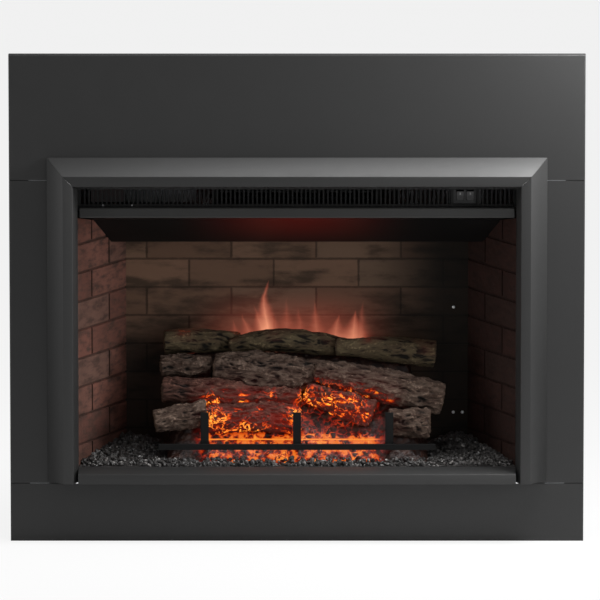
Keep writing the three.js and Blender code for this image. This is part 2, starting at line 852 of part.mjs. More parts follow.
// A bent, tapering log with lumpy bark and slightly domed sawn ends
function logGeometry(sizes, phase, grow) {
  const axis = new THREE.CatmullRomCurve3(sizes.map(([x, y, z]) => new THREE.Vector3(x, y, deckTop + z)));
  const points = [];
  const radiusAt = (t) => {
    const place = t * (sizes.length - 1);
    const i = Math.min(Math.floor(place), sizes.length - 2);
    return sizes[i][3] + (sizes[i + 1][3] - sizes[i][3]) * (place - i);
  };
  const ringPoint = (t, k) => {
    const angle = (k / logSides) * 2 * Math.PI;
    const tangent = axis.getTangent(t);
    const side = new THREE.Vector3().crossVectors(tangent, upward).normalize();
    const up = new THREE.Vector3().crossVectors(side, tangent);
    const lump = Math.sin(3 * angle + phase + 5 * t) * 0.05 + Math.sin(2 * angle - 9 * t + phase) * 0.06;
    const radius = radiusAt(t) * (1 + lump) + grow;
    return axis.getPoint(t)
      .addScaledVector(side, radius * Math.cos(angle))
      .addScaledVector(up, radius * Math.sin(angle));
  };
  for (let ring = 0; ring < logRings; ring += 1) {
    for (let k = 0; k < logSides; k += 1) {
      points.push(ringPoint(ring / (logRings - 1), k));
    }
  }
  const dome = logDome + grow;
  points.push(axis.getPoint(0).addScaledVector(axis.getTangent(0), -dome));
  points.push(axis.getPoint(1).addScaledVector(axis.getTangent(1), dome));
  const index = [];
  for (let ring = 0; ring < logRings - 1; ring += 1) {
    for (let k = 0; k < logSides; k += 1) {
      const a = ring * logSides + k;
      const b = ring * logSides + (k + 1) % logSides;
      index.push(a, b, a + logSides, b, b + logSides, a + logSides);
    }
  }
  const last = (logRings - 1) * logSides;
  for (let k = 0; k < logSides; k += 1) {
    const next = (k + 1) % logSides;
    index.push(points.length - 2, next, k, points.length - 1, last + k, last + next);
  }
  const geometry = new THREE.BufferGeometry().setFromPoints(points);
  geometry.setIndex(index);
  return geometry;
}

// Each log is laid in turn, and takes the shape of those it leans on
function buildLogs(dogs) {
  const laid = [...dogs];
  Object.entries(logSizes).forEach(([name, sizes], i) => {
    const log = cut(solidified(logGeometry(sizes, i * 1.7, 0)), ...laid);
    laid.push(solidified(logGeometry(sizes, i * 1.7, seat)));
    const bark = greenLogs.includes(name) ? logGreen : logBark;
    add(name, log, emberLogs.includes(name) ? logEmber : bark);
  });
  return laid;
}

// Grate: a front bar across three dogs, each a post, a runner under the logs and two legs
function dogGeometry(x, grow) {
  const low = deckTop + grateRise - grow;
  const high = low + grateBar + 2 * grow;
  const foot = deckTop + seat - 2 * grow;
  const leg = [dogLeg - grow, dogLeg + grateBar + grow];
  const tail = [dogTail - grateBar - grow, dogTail + grow];
  const top = high + dogHeight - grateBar;
  const section = outline([
    [dogFront - grow, low], [leg[0], low], [leg[0], foot], [leg[1], foot], [leg[1], low],
    [tail[0], low], [tail[0], foot], [tail[1], foot], [tail[1], high],
    [dogBack + grow, high], [dogBack + grow, top], [dogFront - grow, top],
  ]);
  const half = dogThickness / 2 + grow;
  return alongX(section, x - half, x + half);
}

function buildGrate() {
  const places = [['left', -dogSpacing], ['centre', 0], ['right', dogSpacing]];
  for (const [side, x] of places) {
    add('grate_dog_' + side, dogGeometry(x, 0), grateIron);
  }
  const barLow = deckTop + grateRise;
  const bar = rectangle(dogFront - seat - grateBar, dogFront - seat, barLow, barLow + grateBar);
  add('grate_bar', alongX(bar, -grateHalfWidth, grateHalfWidth), grateIron);
  return places.map(([, x]) => dogGeometry(x, seat));
}

function buildBed(laid) {
  const rows = 8;
  const columns = 14;
  const base = deckTop + seat;
  const bed = relief(-bedHalfWidth, bedHalfWidth, bedFront, bedBack, base, columns, rows, bedHeight);
  const body = cut(bed, ...laid);
  const pieces = solidOf(body).decompose();
  pieces.sort((a, b) => b.volume() - a.volume());
  add('ember_bed', geometryOf(pieces[0].simplify(flatWithin)), emberResin);
}

function buildStones(dogs) {
  const back = screenFront - seat;
  const base = deckTop + seat;
  const half = viewHalf - 1;
  const height = (x, y) => {
    const slope = (y - 2) / (back - 2);
    const pile = THREE.MathUtils.smoothstep(Math.abs(x), bedHalfWidth - 20, bedHalfWidth + 40);
    return 9 + slope * 26 * pile + 3.5 * ripple(x * 1.6, y * 1.4, 1.1);
  };
  const layer = relief(-half, half, casingSheet + seat, back, base, 28, 7, height);
  const wallCut = (side) => {
    const gap = seat + 0.5;
    const corner = outline([
      [side * (viewHalf - gap), -5], [side * (viewHalf - gap), wallFront],
      [side * (backHalfWidth - gap), back], [side * (backHalfWidth - gap), back + 5],
      [side * (viewHalf + 50), back + 5], [side * (viewHalf + 50), -5],
    ]);
    return alongZ(corner, deckTop - 5, deckTop + 200);
  };
  const well = block(
    -bedHalfWidth - seat, bedHalfWidth + seat, bedFront - seat, back + 5, deckTop - 5, deckTop + 200,
  );
  const body = cut(layer, wallCut(-1), wallCut(1), well, ...dogs);
  add('stone_bed', geometryOf(solidOf(body).simplify(flatWithin)), stoneGrey);
}

// ---------------------------------------------------------------- lamps and flame engine
const rotorY = (screenBack + casingDepth) / 2 + 3;
const rotorZ = casingBottom + rotorHeight;

// A lamp strip: a shallow channel with a row of lamp domes
function lampStrip(y, floor) {
  const half = lampWidth / 2;
  const top = floor + lampHeight - 3;
  const body = block(-lampHalf, lampHalf, y - half, y + half, floor, top);
  const domes = [];
  for (let i = 0; i < lampDomes; i += 1) {
    const dome = new THREE.CylinderGeometry(3, 4, 4, 6);
    dome.rotateX(Math.PI / 2);
    dome.translate((i - (lampDomes - 1) / 2) * 2 * (lampHalf - lampWidth) / (lampDomes - 1), y, top);
    domes.push(dome);
  }
  return join(body, ...domes);
}

function buildLamps() {
  const floor = casingBottom + casingSheet + seat;
  add('ember_lamp_strip', lampStrip(emberLampY, floor), brightMetal);
  add('flame_lamp_strip', lampStrip(rotorY, floor), brightMetal);
}

// Thin sheet with flame-shaped openings that the moving light passes through
function flameShape(x, foot, tall) {
  const half = flameSpacing * 0.36;
  const flame = new THREE.Shape();
  flame.moveTo(x - half, foot);
  flame.lineTo(x + half, foot);
  flame.bezierCurveTo(
    x + half * 1.1, foot + tall * 0.3, x + half * 0.9, foot + tall * 0.6, x - half * 0.2, foot + tall,
  );
  flame.bezierCurveTo(
    x - half * 0.1, foot + tall * 0.55, x - half * 1.2, foot + tall * 0.35, x - half, foot + 1,
  );
  return flame;
}

function buildFlameTemplate() {
  const front = hoodRear + 6;
  const low = casingBottom + casingSheet + seat;
  const half = rotorLength / 2 + 8;
  const back = front + templateSheet;
  const plate = block(-half, half, front, back, low, low + templateHeight);
  const foot = block(-half, half, front - 5, back - templateSheet / 2, low, low + 1.2);
  const flames = flameHeights.map((tall, i) => {
    const x = (i - (flameHeights.length - 1) / 2) * flameSpacing;
    return alongY(flameShape(x, low + templateFoot, tall), front - 1, back + 1, 4);
  });
  add('flame_template', cut(join(plate, foot), ...flames), brightMetal);
}

// Shaft with bent reflector tabs set along a helix
function buildRotor() {
  const half = rotorLength / 2;
  const span = rotorLength - 60;
  const tabs = [];
  for (let i = 0; i < rotorTabs; i += 1) {
    const section = new THREE.Shape();
    section.moveTo(-1, -1);
    section.quadraticCurveTo(rotorRadius * 0.6, -1, rotorRadius, rotorRadius * 0.35);
    section.lineTo(rotorRadius - 1, rotorRadius * 0.35 + 1);
    section.quadraticCurveTo(rotorRadius * 0.55, 0.6, -1, 0.6);
    const width = span / rotorTabs * 0.8;
    const tab = alongX(section, -width / 2, width / 2, 2);
    tab.rotateX(i * 2.4);
    tab.translate((i - (rotorTabs - 1) / 2) * span / rotorTabs, 0, 0);
    tabs.push(tab);
  }
  const shaft = rod(rotorShaft, -half - 12, half + 12, 0, 0, 12);
  const rotor = add('flame_rotor', join(shaft, ...tabs), brightMetal);
  rotor.position.set(0, rotorY, rotorZ);

  const floor = casingBottom + casingSheet + seat;
  const bore = (x0, x1) => rod(rotorShaft + seat, x0, x1, rotorY, rotorZ, 12);
  // An L-shaped bracket beyond one end of the rotor: an upright plate and a foot that runs outward
  const bracket = (wide, tall) => join(
    block(half + 9, half + 9 + bracketSheet, rotorY - wide, rotorY + wide, floor, rotorZ + tall),
    block(half + 9, half + 28, rotorY - wide, rotorY + wide, floor, floor + bracketSheet),
  );
  const bearing = join(bracket(bracketHalf, bracketHalf), rod(8, half + 4, half + 16, rotorY, rotorZ, 16));
  add('rotor_bearing', mirrored(cut(bearing, bore(half, half + 30))), galvanised);
  const motor = join(
    bracket(motorRadius + 2, 20),
    rod(motorRadius, half + 10, half + 34, rotorY, rotorZ, 24),
    rod(7, half + 5, half + 12, rotorY, rotorZ, 16),
  );
  add('rotor_motor', cut(motor, bore(half, half + 14)), galvanised);
}

// ---------------------------------------------------------------- heater
const scrollRadius = wheelRadius + scrollGap;
const ductTop = viewTop + 2;
const wheelZ = ductTop - scrollRadius;
const housingHalf = wheelLength / 2 + wheelEndGap;

// Fan housing: a duct that wraps into a scroll round the wheel, as one tube cut open at its mouth and inlet
function scrollOutline(inset) {
  const shape = new THREE.Shape();
  const radius = scrollRadius - inset;
  const low = ductTop - ductHeight + inset;
  const front = grilleBack + 6 + inset;
  shape.moveTo(front, ductTop - inset);
  shape.lineTo(wheelDepth, ductTop - inset);
  shape.absarc(wheelDepth, wheelZ, radius, Math.PI / 2, -Math.PI + Math.asin((wheelZ - low) / radius), true);
  shape.lineTo(front, low);
  return shape;
}

function buildHeater() {
  const wrap = alongX(scrollOutline(0), -housingHalf, housingHalf, 10);
  const inside = alongX(scrollOutline(ductSheet), -housingHalf - 1, housingHalf + 1, 10);
  const strip = 8;
  const mouth = block(
    -housingHalf + strip, housingHalf - strip, 0, grilleBack + 12,
    ductTop - ductHeight + ductSheet, ductTop - ductSheet,
  );
  const inlet = block(
    -housingHalf + strip, housingHalf - strip, wheelDepth + 12, wheelDepth + scrollRadius + 2,
    wheelZ + 8, ductTop + 1,
  );
  add('fan_housing', cut(wrap, inside, mouth, inlet), galvanised);

  const cheek = scrollOutline(-6);
  const plate = alongX(cheek, housingHalf + seat, housingHalf + seat + endSheet, 10);
  const near = housingHalf + seat;
  const roof = casingTop - casingSheet - seat;
  const [hangFront, hangBack] = [wheelDepth - 60, wheelDepth + 20];
  const hanger = block(near, near - seat + hangerWidth, hangFront, hangBack, roof - endSheet, roof);
  const web = block(near, near + endSheet, hangFront, hangBack, ductTop, roof);
  const ceiling = block(0, 2 * housingHalf, 0, casingDepth, roof, casingTop + 50);
  const bore = rod(motorShaft + seat, 0, 2 * housingHalf, wheelDepth, wheelZ, 16);
  addPair('fan_end_left', 'fan_end_right', cut(join(plate, hanger, web), ceiling, bore), galvanised);

  buildBlower();
  buildElement();
}

// Cross-flow wheel: forward-curved blades between a closed disc at each end and rings along its length
function buildBlower() {
  const half = wheelLength / 2;
  const blade = new THREE.Shape();
  const inner = wheelRadius * bladeRoot;
  const bow = bladeBow;
  blade.moveTo(inner, 0);
  blade.quadraticCurveTo((inner + wheelRadius) / 2, bow * 0.2, wheelRadius - 0.6, bow);
  blade.lineTo(wheelRadius - 1.6, bow + 0.6);
  blade.quadraticCurveTo((inner + wheelRadius) / 2 - 0.5, bow * 0.2 + 1, inner, 1);
  const blades = [];
  for (let i = 0; i < wheelBlades; i += 1) {
    const strip = alongX(blade, -half, half, 2);
    strip.rotateX(i * 2 * Math.PI / wheelBlades);
    blades.push(strip);
  }
  const discs = [-half, half - 2].map((x) => rod(wheelRadius, x, x + 2, 0, 0, 24));
  const ring = new THREE.Shape();
  ring.absarc(0, 0, wheelRadius, 0, 2 * Math.PI);
  ring.holes.push(new THREE.Path().absarc(0, 0, inner - 1, 0, 2 * Math.PI));
  const stubs = [
    rod(motorShaft, -half - 14, -half + 1, 0, 0, 16),
    rod(motorShaft, half - 1, half + 24, 0, 0, 16),
  ];
  const body = join(...discs, alongX(ring, -1, 1, 16), ...blades, ...stubs);
  const wheel = add('blower_wheel', body, brightMetal);
  wheel.position.set(0, wheelDepth, wheelZ);

  const start = housingHalf + endSheet + 2 * seat;
  const core = block(start + 8, start + 26, wheelDepth - 30, wheelDepth + 30, wheelZ - 42, wheelZ + 28);
  const coil = block(start + 3, start + 31, wheelDepth - 16, wheelDepth + 16, wheelZ - 58, wheelZ - 34);
  const cups = rod(15, start, start + 34, wheelDepth, wheelZ, 20);
  const bore = rod(motorShaft + seat, 0, half + 25, wheelDepth, wheelZ, 16);
  add('blower_motor', cut(join(core, coil, cups), bore), laminations);
}

// Heating element: an insulating frame filled with a comb of ribbon fins, seated in the duct
function buildElement() {
  const low = ductTop - ductHeight + ductSheet + seat;
  const high = ductTop - ductSheet - seat;
  const half = housingHalf - 1;
  const back = hoodKnee + elementDepth;
  const frame = block(-half, half, hoodKnee, back, low, high);
  const cells = [];
  const pitch = 2 * (half - elementRail) / elementCells;
  for (let i = 0; i < elementCells; i += 1) {
    const x = -half + elementRail + pitch * (i + 0.5);
    cells.push(block(x - pitch * 0.38, x + pitch * 0.38, hoodKnee - 1, back + 1, low + 4, high - 4));
  }
  add('heating_element', cut(frame, ...cells), brightMetal);
}

// ---------------------------------------------------------------- build
buildSurround();
buildTrim();
buildCasing();
buildRearCover();
buildRisers();
buildDeck();
buildFlameScreen();
buildHood();
buildBrickPanels();
buildDeflectorBar();
buildGrille();
buildSwitches();
buildReceiver();
buildControlBox();
buildGland();
const grateDogs = buildGrate();
buildBed(buildLogs(grateDogs));
buildStones(grateDogs);
buildLamps();
buildFlameTemplate();
buildRotor();
buildHeater();

export default insert;
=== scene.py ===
# %% [markdown]
# # Electric fireplace insert
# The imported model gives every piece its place. This script gives each piece its finish, and
# models what the plain solids lack: bark, embers, loose stones, softened edges and screws.

# %% Load the frame
import math
import json
import random
import bmesh
import bpy
from mathutils import Matrix, Vector, noise
from mathutils.bvhtree import BVHTree


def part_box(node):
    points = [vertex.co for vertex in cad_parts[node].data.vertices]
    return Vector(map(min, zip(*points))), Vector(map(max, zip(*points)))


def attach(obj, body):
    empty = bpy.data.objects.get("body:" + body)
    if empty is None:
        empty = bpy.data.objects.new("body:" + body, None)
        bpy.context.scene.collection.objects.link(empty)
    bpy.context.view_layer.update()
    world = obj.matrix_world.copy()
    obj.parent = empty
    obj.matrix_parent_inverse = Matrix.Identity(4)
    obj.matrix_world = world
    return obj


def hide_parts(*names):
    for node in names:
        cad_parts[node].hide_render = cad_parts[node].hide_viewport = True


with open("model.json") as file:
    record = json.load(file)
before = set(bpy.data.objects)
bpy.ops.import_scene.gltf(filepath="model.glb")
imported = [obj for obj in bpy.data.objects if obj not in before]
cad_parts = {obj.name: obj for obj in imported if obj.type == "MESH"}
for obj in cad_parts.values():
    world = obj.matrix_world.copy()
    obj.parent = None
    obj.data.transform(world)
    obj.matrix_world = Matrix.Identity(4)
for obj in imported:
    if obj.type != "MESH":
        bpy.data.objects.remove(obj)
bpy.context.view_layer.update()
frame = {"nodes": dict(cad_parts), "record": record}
nodes = frame["nodes"]
scene = bpy.context.scene
scene.view_settings.view_transform = "Standard"
mm = 0.001
print("frame loaded:", len(nodes), "nodes")

# %% [markdown]
# ## Camera
# The picture was taken with a long lens, a little above the piece, so upright edges stay
# upright. A perspective camera far away with a narrow angle does the same.

# %% Camera at the picture's angle
picture_scale = 1.8557 * mm
picture_width = 600 * picture_scale
camera_distance = 14.0
camera_rise = math.radians(8.0)
surround_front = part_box("surround_header")[0].y
aim = Vector((3 * picture_scale, surround_front, 0.4535))
camera_data = bpy.data.cameras.new("camera")
camera_data.sensor_width = 36
camera_data.lens = 36 * camera_distance / picture_width
camera_data.clip_end = 60
camera = bpy.data.objects.new("camera", camera_data)
toward = Vector((0, -math.cos(camera_rise), math.sin(camera_rise)))
camera.location = aim + toward * camera_distance
camera.rotation_euler = (-toward).to_track_quat("-Z", "Y").to_euler()
scene.collection.objects.link(camera)
scene.camera = camera
print("lens", round(camera_data.lens, 1))

# %% [markdown]
# ## Light
# A soft box hangs above and lights the top slopes of the trim. A small lamp close to the upper
# right corner makes the steep fall of light across the surround. A wide lamp to the right lights
# the left brick wall through the opening. Two weak lamps fill from the front and the left. The
# world is white where the camera sees it and dim where it lights.

# %% Lamps and world
def area_lamp(name, place, target, size, watts):
    data = bpy.data.lights.new(name, "AREA")
    data.shape = "RECTANGLE"
    data.size = size[0]
    data.size_y = size[1]
    data.energy = watts
    lamp = bpy.data.objects.new(name, data)
    lamp.location = place
    lamp.visible_camera = False
    lamp.rotation_euler = (Vector(target) - Vector(place)).to_track_quat("-Z", "Y").to_euler()
    scene.collection.objects.link(lamp)


area_lamp("overhead_box", (0.20, -0.45, 2.3), (0.0, -0.1, 0.7), (1.5, 0.8), 36)
area_lamp("corner_lamp", (0.76, -0.30, 1.20), (0.42, -0.13, 0.8), (0.32, 0.32), 17)
area_lamp("right_box", (2.7, -1.15, 1.0), (-0.3, 0, 0.35), (0.9, 0.9), 35)
area_lamp("front_fill", (1.3, -2.6, 0.5), (0, 0, 0.42), (1.2, 1.0), 9)
area_lamp("left_fill", (-2.2, -0.8, 0.9), (-0.5, 0, 0.4), (1.4, 1.4), 16)

room_light = 0.19
world = bpy.data.worlds.new("studio")
scene.world = world
world.use_nodes = True
tree = world.node_tree
tree.nodes.clear()
path = tree.nodes.new("ShaderNodeLightPath")
lit = tree.nodes.new("ShaderNodeBackground")
seen = tree.nodes.new("ShaderNodeBackground")
mix = tree.nodes.new("ShaderNodeMixShader")
out = tree.nodes.new("ShaderNodeOutputWorld")
lit.inputs["Color"].default_value = (1, 1, 1, 1)
lit.inputs["Strength"].default_value = room_light
seen.inputs["Color"].default_value = (1, 1, 1, 1)
seen.inputs["Strength"].default_value = 1.0
tree.links.new(path.outputs["Is Camera Ray"], mix.inputs["Fac"])
tree.links.new(lit.outputs[0], mix.inputs[1])
tree.links.new(seen.outputs[0], mix.inputs[2])
tree.links.new(mix.outputs[0], out.inputs["Surface"])
print("lamps", len(bpy.data.lights))

# %% [markdown]
# ## A small kit for materials
# Every finish is a Principled shader. The helpers below add noise, colour ramps and bumps,
# all read from object coordinates, which are metres in the frame, so scales are real sizes.

# %% Material helpers
class Finish:
    """One material with its node tree, and short ways to add nodes to it."""

    def __init__(self, name, roughness=0.5, metallic=0.0, specular=0.5):
        self.material = bpy.data.materials.new(name)
        self.material.use_nodes = True
        self.tree = self.material.node_tree
        self.shader = self.tree.nodes["Principled BSDF"]
        self.shader.inputs["Roughness"].default_value = roughness
        self.shader.inputs["Metallic"].default_value = metallic
        self.shader.inputs["Specular IOR Level"].default_value = specular
        self.place = self.tree.nodes.new("ShaderNodeTexCoord").outputs["Object"]

    def link(self, source, target):
        if hasattr(source, "node"):
            self.tree.links.new(source, target)
        else:
            target.default_value = source

    def stretched(self, scale):
        node = self.tree.nodes.new("ShaderNodeMapping")
        node.inputs["Scale"].default_value = scale
        self.link(self.place, node.inputs["Vector"])
        return node.outputs["Vector"]

    def noise(self, size, detail=4.0, rough=0.55, vector=None, distortion=0.0):
        node = self.tree.nodes.new("ShaderNodeTexNoise")
        node.inputs["Scale"].default_value = 1.0 / size
        node.inputs["Detail"].default_value = detail
        node.inputs["Roughness"].default_value = rough
        node.inputs["Distortion"].default_value = distortion
        self.link(vector or self.place, node.inputs["Vector"])
        return node.outputs["Fac"]

    def cells(self, size, feature="F1", vector=None):
        node = self.tree.nodes.new("ShaderNodeTexVoronoi")
        node.feature = feature
        node.inputs["Scale"].default_value = 1.0 / size
        self.link(vector or self.place, node.inputs["Vector"])
        return node.outputs["Distance"]

    def ramp(self, value, *stops):
        node = self.tree.nodes.new("ShaderNodeValToRGB")
        elements = node.color_ramp.elements
        while len(elements) < len(stops):
            elements.new(0.5)
        for element, (at, colour) in zip(elements, stops):
            element.position = at
            element.color = (*colour, 1)
        self.link(value, node.inputs["Fac"])
        return node.outputs["Color"]

    def math(self, kind, a, b=0.5, clamp=False):
        node = self.tree.nodes.new("ShaderNodeMath")
        node.operation = kind
        node.use_clamp = clamp
        self.link(a, node.inputs[0])
        self.link(b, node.inputs[1])
        return node.outputs[0]

    def between(self, value, low, high):
        """0 at low, 1 at high, smooth between."""
        node = self.tree.nodes.new("ShaderNodeMapRange")
        node.interpolation_type = "SMOOTHSTEP"
        node.inputs["From Min"].default_value = low
        node.inputs["From Max"].default_value = high
        self.link(value, node.inputs["Value"])
        return node.outputs["Result"]

    def axis(self, letter):
        node = self.tree.nodes.new("ShaderNodeSeparateXYZ")
        self.link(self.place, node.inputs[0])
        return node.outputs[letter]

    def mixed(self, factor, a, b):
        node = self.tree.nodes.new("ShaderNodeMix")
        node.data_type = "RGBA"
        self.link(factor, node.inputs["Factor"])
        for colour, name in ((a, 6), (b, 7)):
            if hasattr(colour, "node"):
                self.tree.links.new(colour, node.inputs[name])
            else:
                node.inputs[name].default_value = (*colour, 1)
        return node.outputs[2]

    def colour(self, source):
        if hasattr(source, "node"):
            self.tree.links.new(source, self.shader.inputs["Base Color"])
        else:
            self.shader.inputs["Base Color"].default_value = (*source, 1)

    def roughness(self, source):
        self.link(source, self.shader.inputs["Roughness"])

    def bump(self, height, depth, strength=1.0):
        node = self.tree.nodes.new("ShaderNodeBump")
        node.inputs["Distance"].default_value = depth
        node.inputs["Strength"].default_value = strength
        self.link(height, node.inputs["Height"])
        previous = self.shader.inputs["Normal"].links
        if previous:
            self.tree.links.new(previous[0].from_socket, node.inputs["Normal"])
        self.tree.links.new(node.outputs["Normal"], self.shader.inputs["Normal"])

    def glow(self, colour, strength):
        self.tree.links.new(colour, self.shader.inputs["Emission Color"])
        self.link(strength, self.shader.inputs["Emission Strength"])


# %% [markdown]
# ## Floor
# A pale floor that keeps the piece's shadow. Most of its white comes from its colour as the
# camera sees it, so no extra light is needed on the object.

# %% Floor
floor_mesh = bpy.data.meshes.new("floor")
floor_bm = bmesh.new()
bmesh.ops.create_grid(floor_bm, x_segments=1, y_segments=1, size=30)
floor_bm.to_mesh(floor_mesh)
floor_bm.free()
floor = bpy.data.objects.new("floor", floor_mesh)
scene.collection.objects.link(floor)
floor_grey = 0.62
camera_white = 0.86
floor_finish = Finish("floor_white", roughness=0.9)
floor_finish.colour((floor_grey, floor_grey, floor_grey))
floor_tree = floor_finish.tree
floor_glow = floor_tree.nodes.new("ShaderNodeEmission")
floor_mix = floor_tree.nodes.new("ShaderNodeMixShader")
floor_path = floor_tree.nodes.new("ShaderNodeLightPath")
floor_share = floor_finish.math("MULTIPLY", floor_path.outputs["Is Camera Ray"], camera_white)
floor_tree.links.new(floor_share, floor_mix.inputs["Fac"])
floor_tree.links.new(floor_finish.shader.outputs[0], floor_mix.inputs[1])
floor_tree.links.new(floor_glow.outputs[0], floor_mix.inputs[2])
floor_tree.links.new(floor_mix.outputs[0], floor_tree.nodes["Material Output"].inputs["Surface"])
floor_mesh.materials.append(floor_finish.material)

# %% [markdown]
# ## Metal finishes
# Powder coat is a satin paint with a fine orange-peel skin, so it gets a very small bump and a
# little change of gloss. Zinc-coated sheet shows its spangle as cells of two greys.

# %% Painted and bare metals
def powder(name, grey, roughness):
    coat = Finish(name, roughness=roughness, specular=0.42)
    drift = coat.noise(0.25, detail=2)
    dark = tuple(c * 0.9 for c in grey)
    coat.colour(coat.mixed(drift, dark, tuple(c * 1.1 for c in grey)))
    spread = coat.tree.nodes.new("ShaderNodeMapRange")
    spread.inputs["To Min"].default_value = roughness - 0.05
    spread.inputs["To Max"].default_value = roughness + 0.07
    coat.link(coat.noise(0.02, detail=3), spread.inputs["Value"])
    coat.roughness(spread.outputs["Result"])
    coat.bump(coat.noise(0.0011, detail=2), 0.00012, 0.5)
    return coat.material


def zinc_sheet():
    sheet = Finish("zinc_sheet", roughness=0.42, metallic=0.85)
    spangle = sheet.cells(0.012)
    tone = sheet.mixed(spangle, (0.33, 0.345, 0.36), (0.47, 0.48, 0.49))
    stain = sheet.between(sheet.noise(0.08, detail=5), 0.45, 0.75)
    sheet.colour(sheet.mixed(sheet.math("MULTIPLY", stain, 0.35), tone, (0.25, 0.26, 0.27)))
    sheet.bump(sheet.noise(0.004, detail=3), 0.0001, 0.4)
    return sheet.material


def bright_sheet():
    sheet = Finish("bright_sheet", roughness=0.28, metallic=1.0)
    lines = sheet.noise(0.004, detail=3, vector=sheet.stretched((0.05, 1, 1)))
    sheet.colour(sheet.mixed(lines, (0.62, 0.63, 0.64), (0.75, 0.76, 0.77)))
    sheet.bump(lines, 0.0001, 0.3)
    return sheet.material


# %% [markdown]
# Cast iron is dull, with dust lying in its grain. The hood is enamelled, so it is smooth and
# mirrors a little, and the fire lights the middle of it dark red. That glow is emission in
# the finish, because no lamp of the scene stands inside the unit.

# %% Cast iron and enamel
def cast_black(name, grey, roughness, grain=0.003):
    iron = Finish(name, roughness=roughness, specular=0.2)
    dust = iron.between(iron.noise(0.02, detail=5), 0.5, 0.8)
    dusty = (grey * 3, grey * 2.7, grey * 2.4)
    iron.colour(iron.mixed(iron.math("MULTIPLY", dust, 0.5), (grey, grey, grey), dusty))
    iron.bump(iron.noise(grain, detail=4), 0.0006, 0.5)
    return iron.material


def gloss_enamel():
    enamel = Finish("gloss_black", roughness=0.40, specular=0.14)
    haze = enamel.noise(0.06, detail=3)
    enamel.colour(enamel.mixed(haze, (0.004, 0.0038, 0.0038), (0.008, 0.0072, 0.007)))
    enamel.bump(enamel.noise(0.03, detail=2), 0.0004, 0.2)
    across = enamel.math("ABSOLUTE", enamel.math("ADD", enamel.axis("X"), 0.005))
    raised = enamel.between(enamel.axis("Z"), 0.52, 0.60)
    near = enamel.math("MULTIPLY", enamel.between(across, 0.24, 0.0), raised)
    red = enamel.ramp(near, (0.0, (0.5, 0.012, 0.004)), (1.0, (0.9, 0.018, 0.006)))
    enamel.glow(red, enamel.math("MULTIPLY", near, 0.042))
    return enamel.material


# %% [markdown]
# ## Plastics of the controls
# Moulded parts carry a fine spark texture. The rockers are smoother where fingers rub them.

# %% Plastics
def moulded(name, tone, roughness, grain):
    shell = Finish(name, roughness=roughness)
    shell.colour(shell.mixed(shell.noise(0.01, detail=3), tone, tuple(c * 1.5 for c in tone)))
    shell.bump(shell.noise(grain, detail=2), 0.00008, 0.5)
    return shell.material


# %% [markdown]
# ## Brick
# The side panels are moulded like fired brick in running bond, and the grooves are real. The
# colour has to change from brick to brick, so each brick's number is worked out from its place
# and fed to a random colour. The panels are darker towards the bottom and the front, and the
# right-hand panel is darkened as painted shade.

# %% Brick finish
# course height, brick length, top of the bond, and the first joint across the screen
course = 0.0537
brick_run = 0.1596
course_top = 0.5557
screen_joint = 0.0359
wall_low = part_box("brick_panel_left")[0]
wall_taper = 0.0845
wall_depth = 0.2057
wall_slant = math.hypot(wall_taper, wall_depth) / wall_depth
wall_joint = wall_depth * wall_slant - brick_run / 2


def brick_bond(finish, along, first_joint):
    """A random number for each brick, and 1 in the mortar joints of the running bond."""
    down = finish.math("DIVIDE", finish.math("SUBTRACT", course_top, finish.axis("Z")), course)
    row = finish.math("FLOOR", down)
    in_row = finish.math("SUBTRACT", down, row)
    half = finish.math("MULTIPLY", finish.math("MODULO", row, 2.0), 0.5)
    run = finish.math("DIVIDE", finish.math("SUBTRACT", along, first_joint), brick_run)
    run = finish.math("SUBTRACT", run, half)
    column = finish.math("FLOOR", run)
    in_brick = finish.math("SUBTRACT", run, column)
    to_bed = finish.math("MULTIPLY", finish.math("PINGPONG", in_row, 0.5), course)
    to_end = finish.math("MULTIPLY", finish.math("PINGPONG", in_brick, 0.5), brick_run)
    ragged = finish.math("MULTIPLY", finish.math("SUBTRACT", finish.noise(0.012), 0.5), 0.003)
    distance = finish.math("ADD", finish.math("MINIMUM", to_bed, to_end), ragged)
    random_cell = finish.tree.nodes.new("ShaderNodeTexWhiteNoise")
    random_cell.noise_dimensions = "2D"
    pair = finish.tree.nodes.new("ShaderNodeCombineXYZ")
    finish.link(row, pair.inputs[0])
    finish.link(column, pair.inputs[1])
    finish.link(pair.outputs[0], random_cell.inputs["Vector"])
    return random_cell.outputs["Value"], finish.between(distance, 0.0030, 0.0008)


def fired_brick():
    clay = Finish("fired_brick", roughness=0.95, specular=0.12)
    behind = clay.math("SUBTRACT", clay.axis("Y"), wall_low.y + 0.0024)
    inward = clay.math("MULTIPLY", behind, wall_slant)
    number, joint = brick_bond(clay, inward, wall_joint)
    tone = clay.ramp(
        number,
        (0.0, (0.105, 0.046, 0.035)),
        (0.5, (0.158, 0.067, 0.050)),
        (1.0, (0.126, 0.070, 0.054)),
    )
    streaks = clay.noise(0.03, detail=6, vector=clay.stretched((1, 1, 3)))
    tone = clay.mixed(clay.between(streaks, 0.38, 0.72), tone, (0.062, 0.036, 0.028))
    tone = clay.mixed(clay.math("MULTIPLY", joint, 0.62), tone, (0.022, 0.014, 0.011))
    # Darker towards the bottom and the front; the darkening of the right-hand panel is painted shade.
    toward_bottom = clay.math("MULTIPLY", clay.between(clay.axis("Z"), 0.27, 0.14), 0.6)
    shade = clay.math("MULTIPLY", clay.between(clay.axis("X"), -0.1, 0.1), 0.88)
    front = clay.math("MULTIPLY", clay.between(clay.axis("Y"), -0.05, -0.12), 0.35)
    dark = clay.math("MAXIMUM", clay.math("MAXIMUM", toward_bottom, shade), front)
    clay.colour(clay.mixed(dark, tone, (0.012, 0.006, 0.005)))
    clay.bump(clay.noise(0.012, detail=6), 0.003, 0.7)
    clay.bump(clay.noise(0.0025, detail=4), 0.0008, 0.6)
    return clay.material


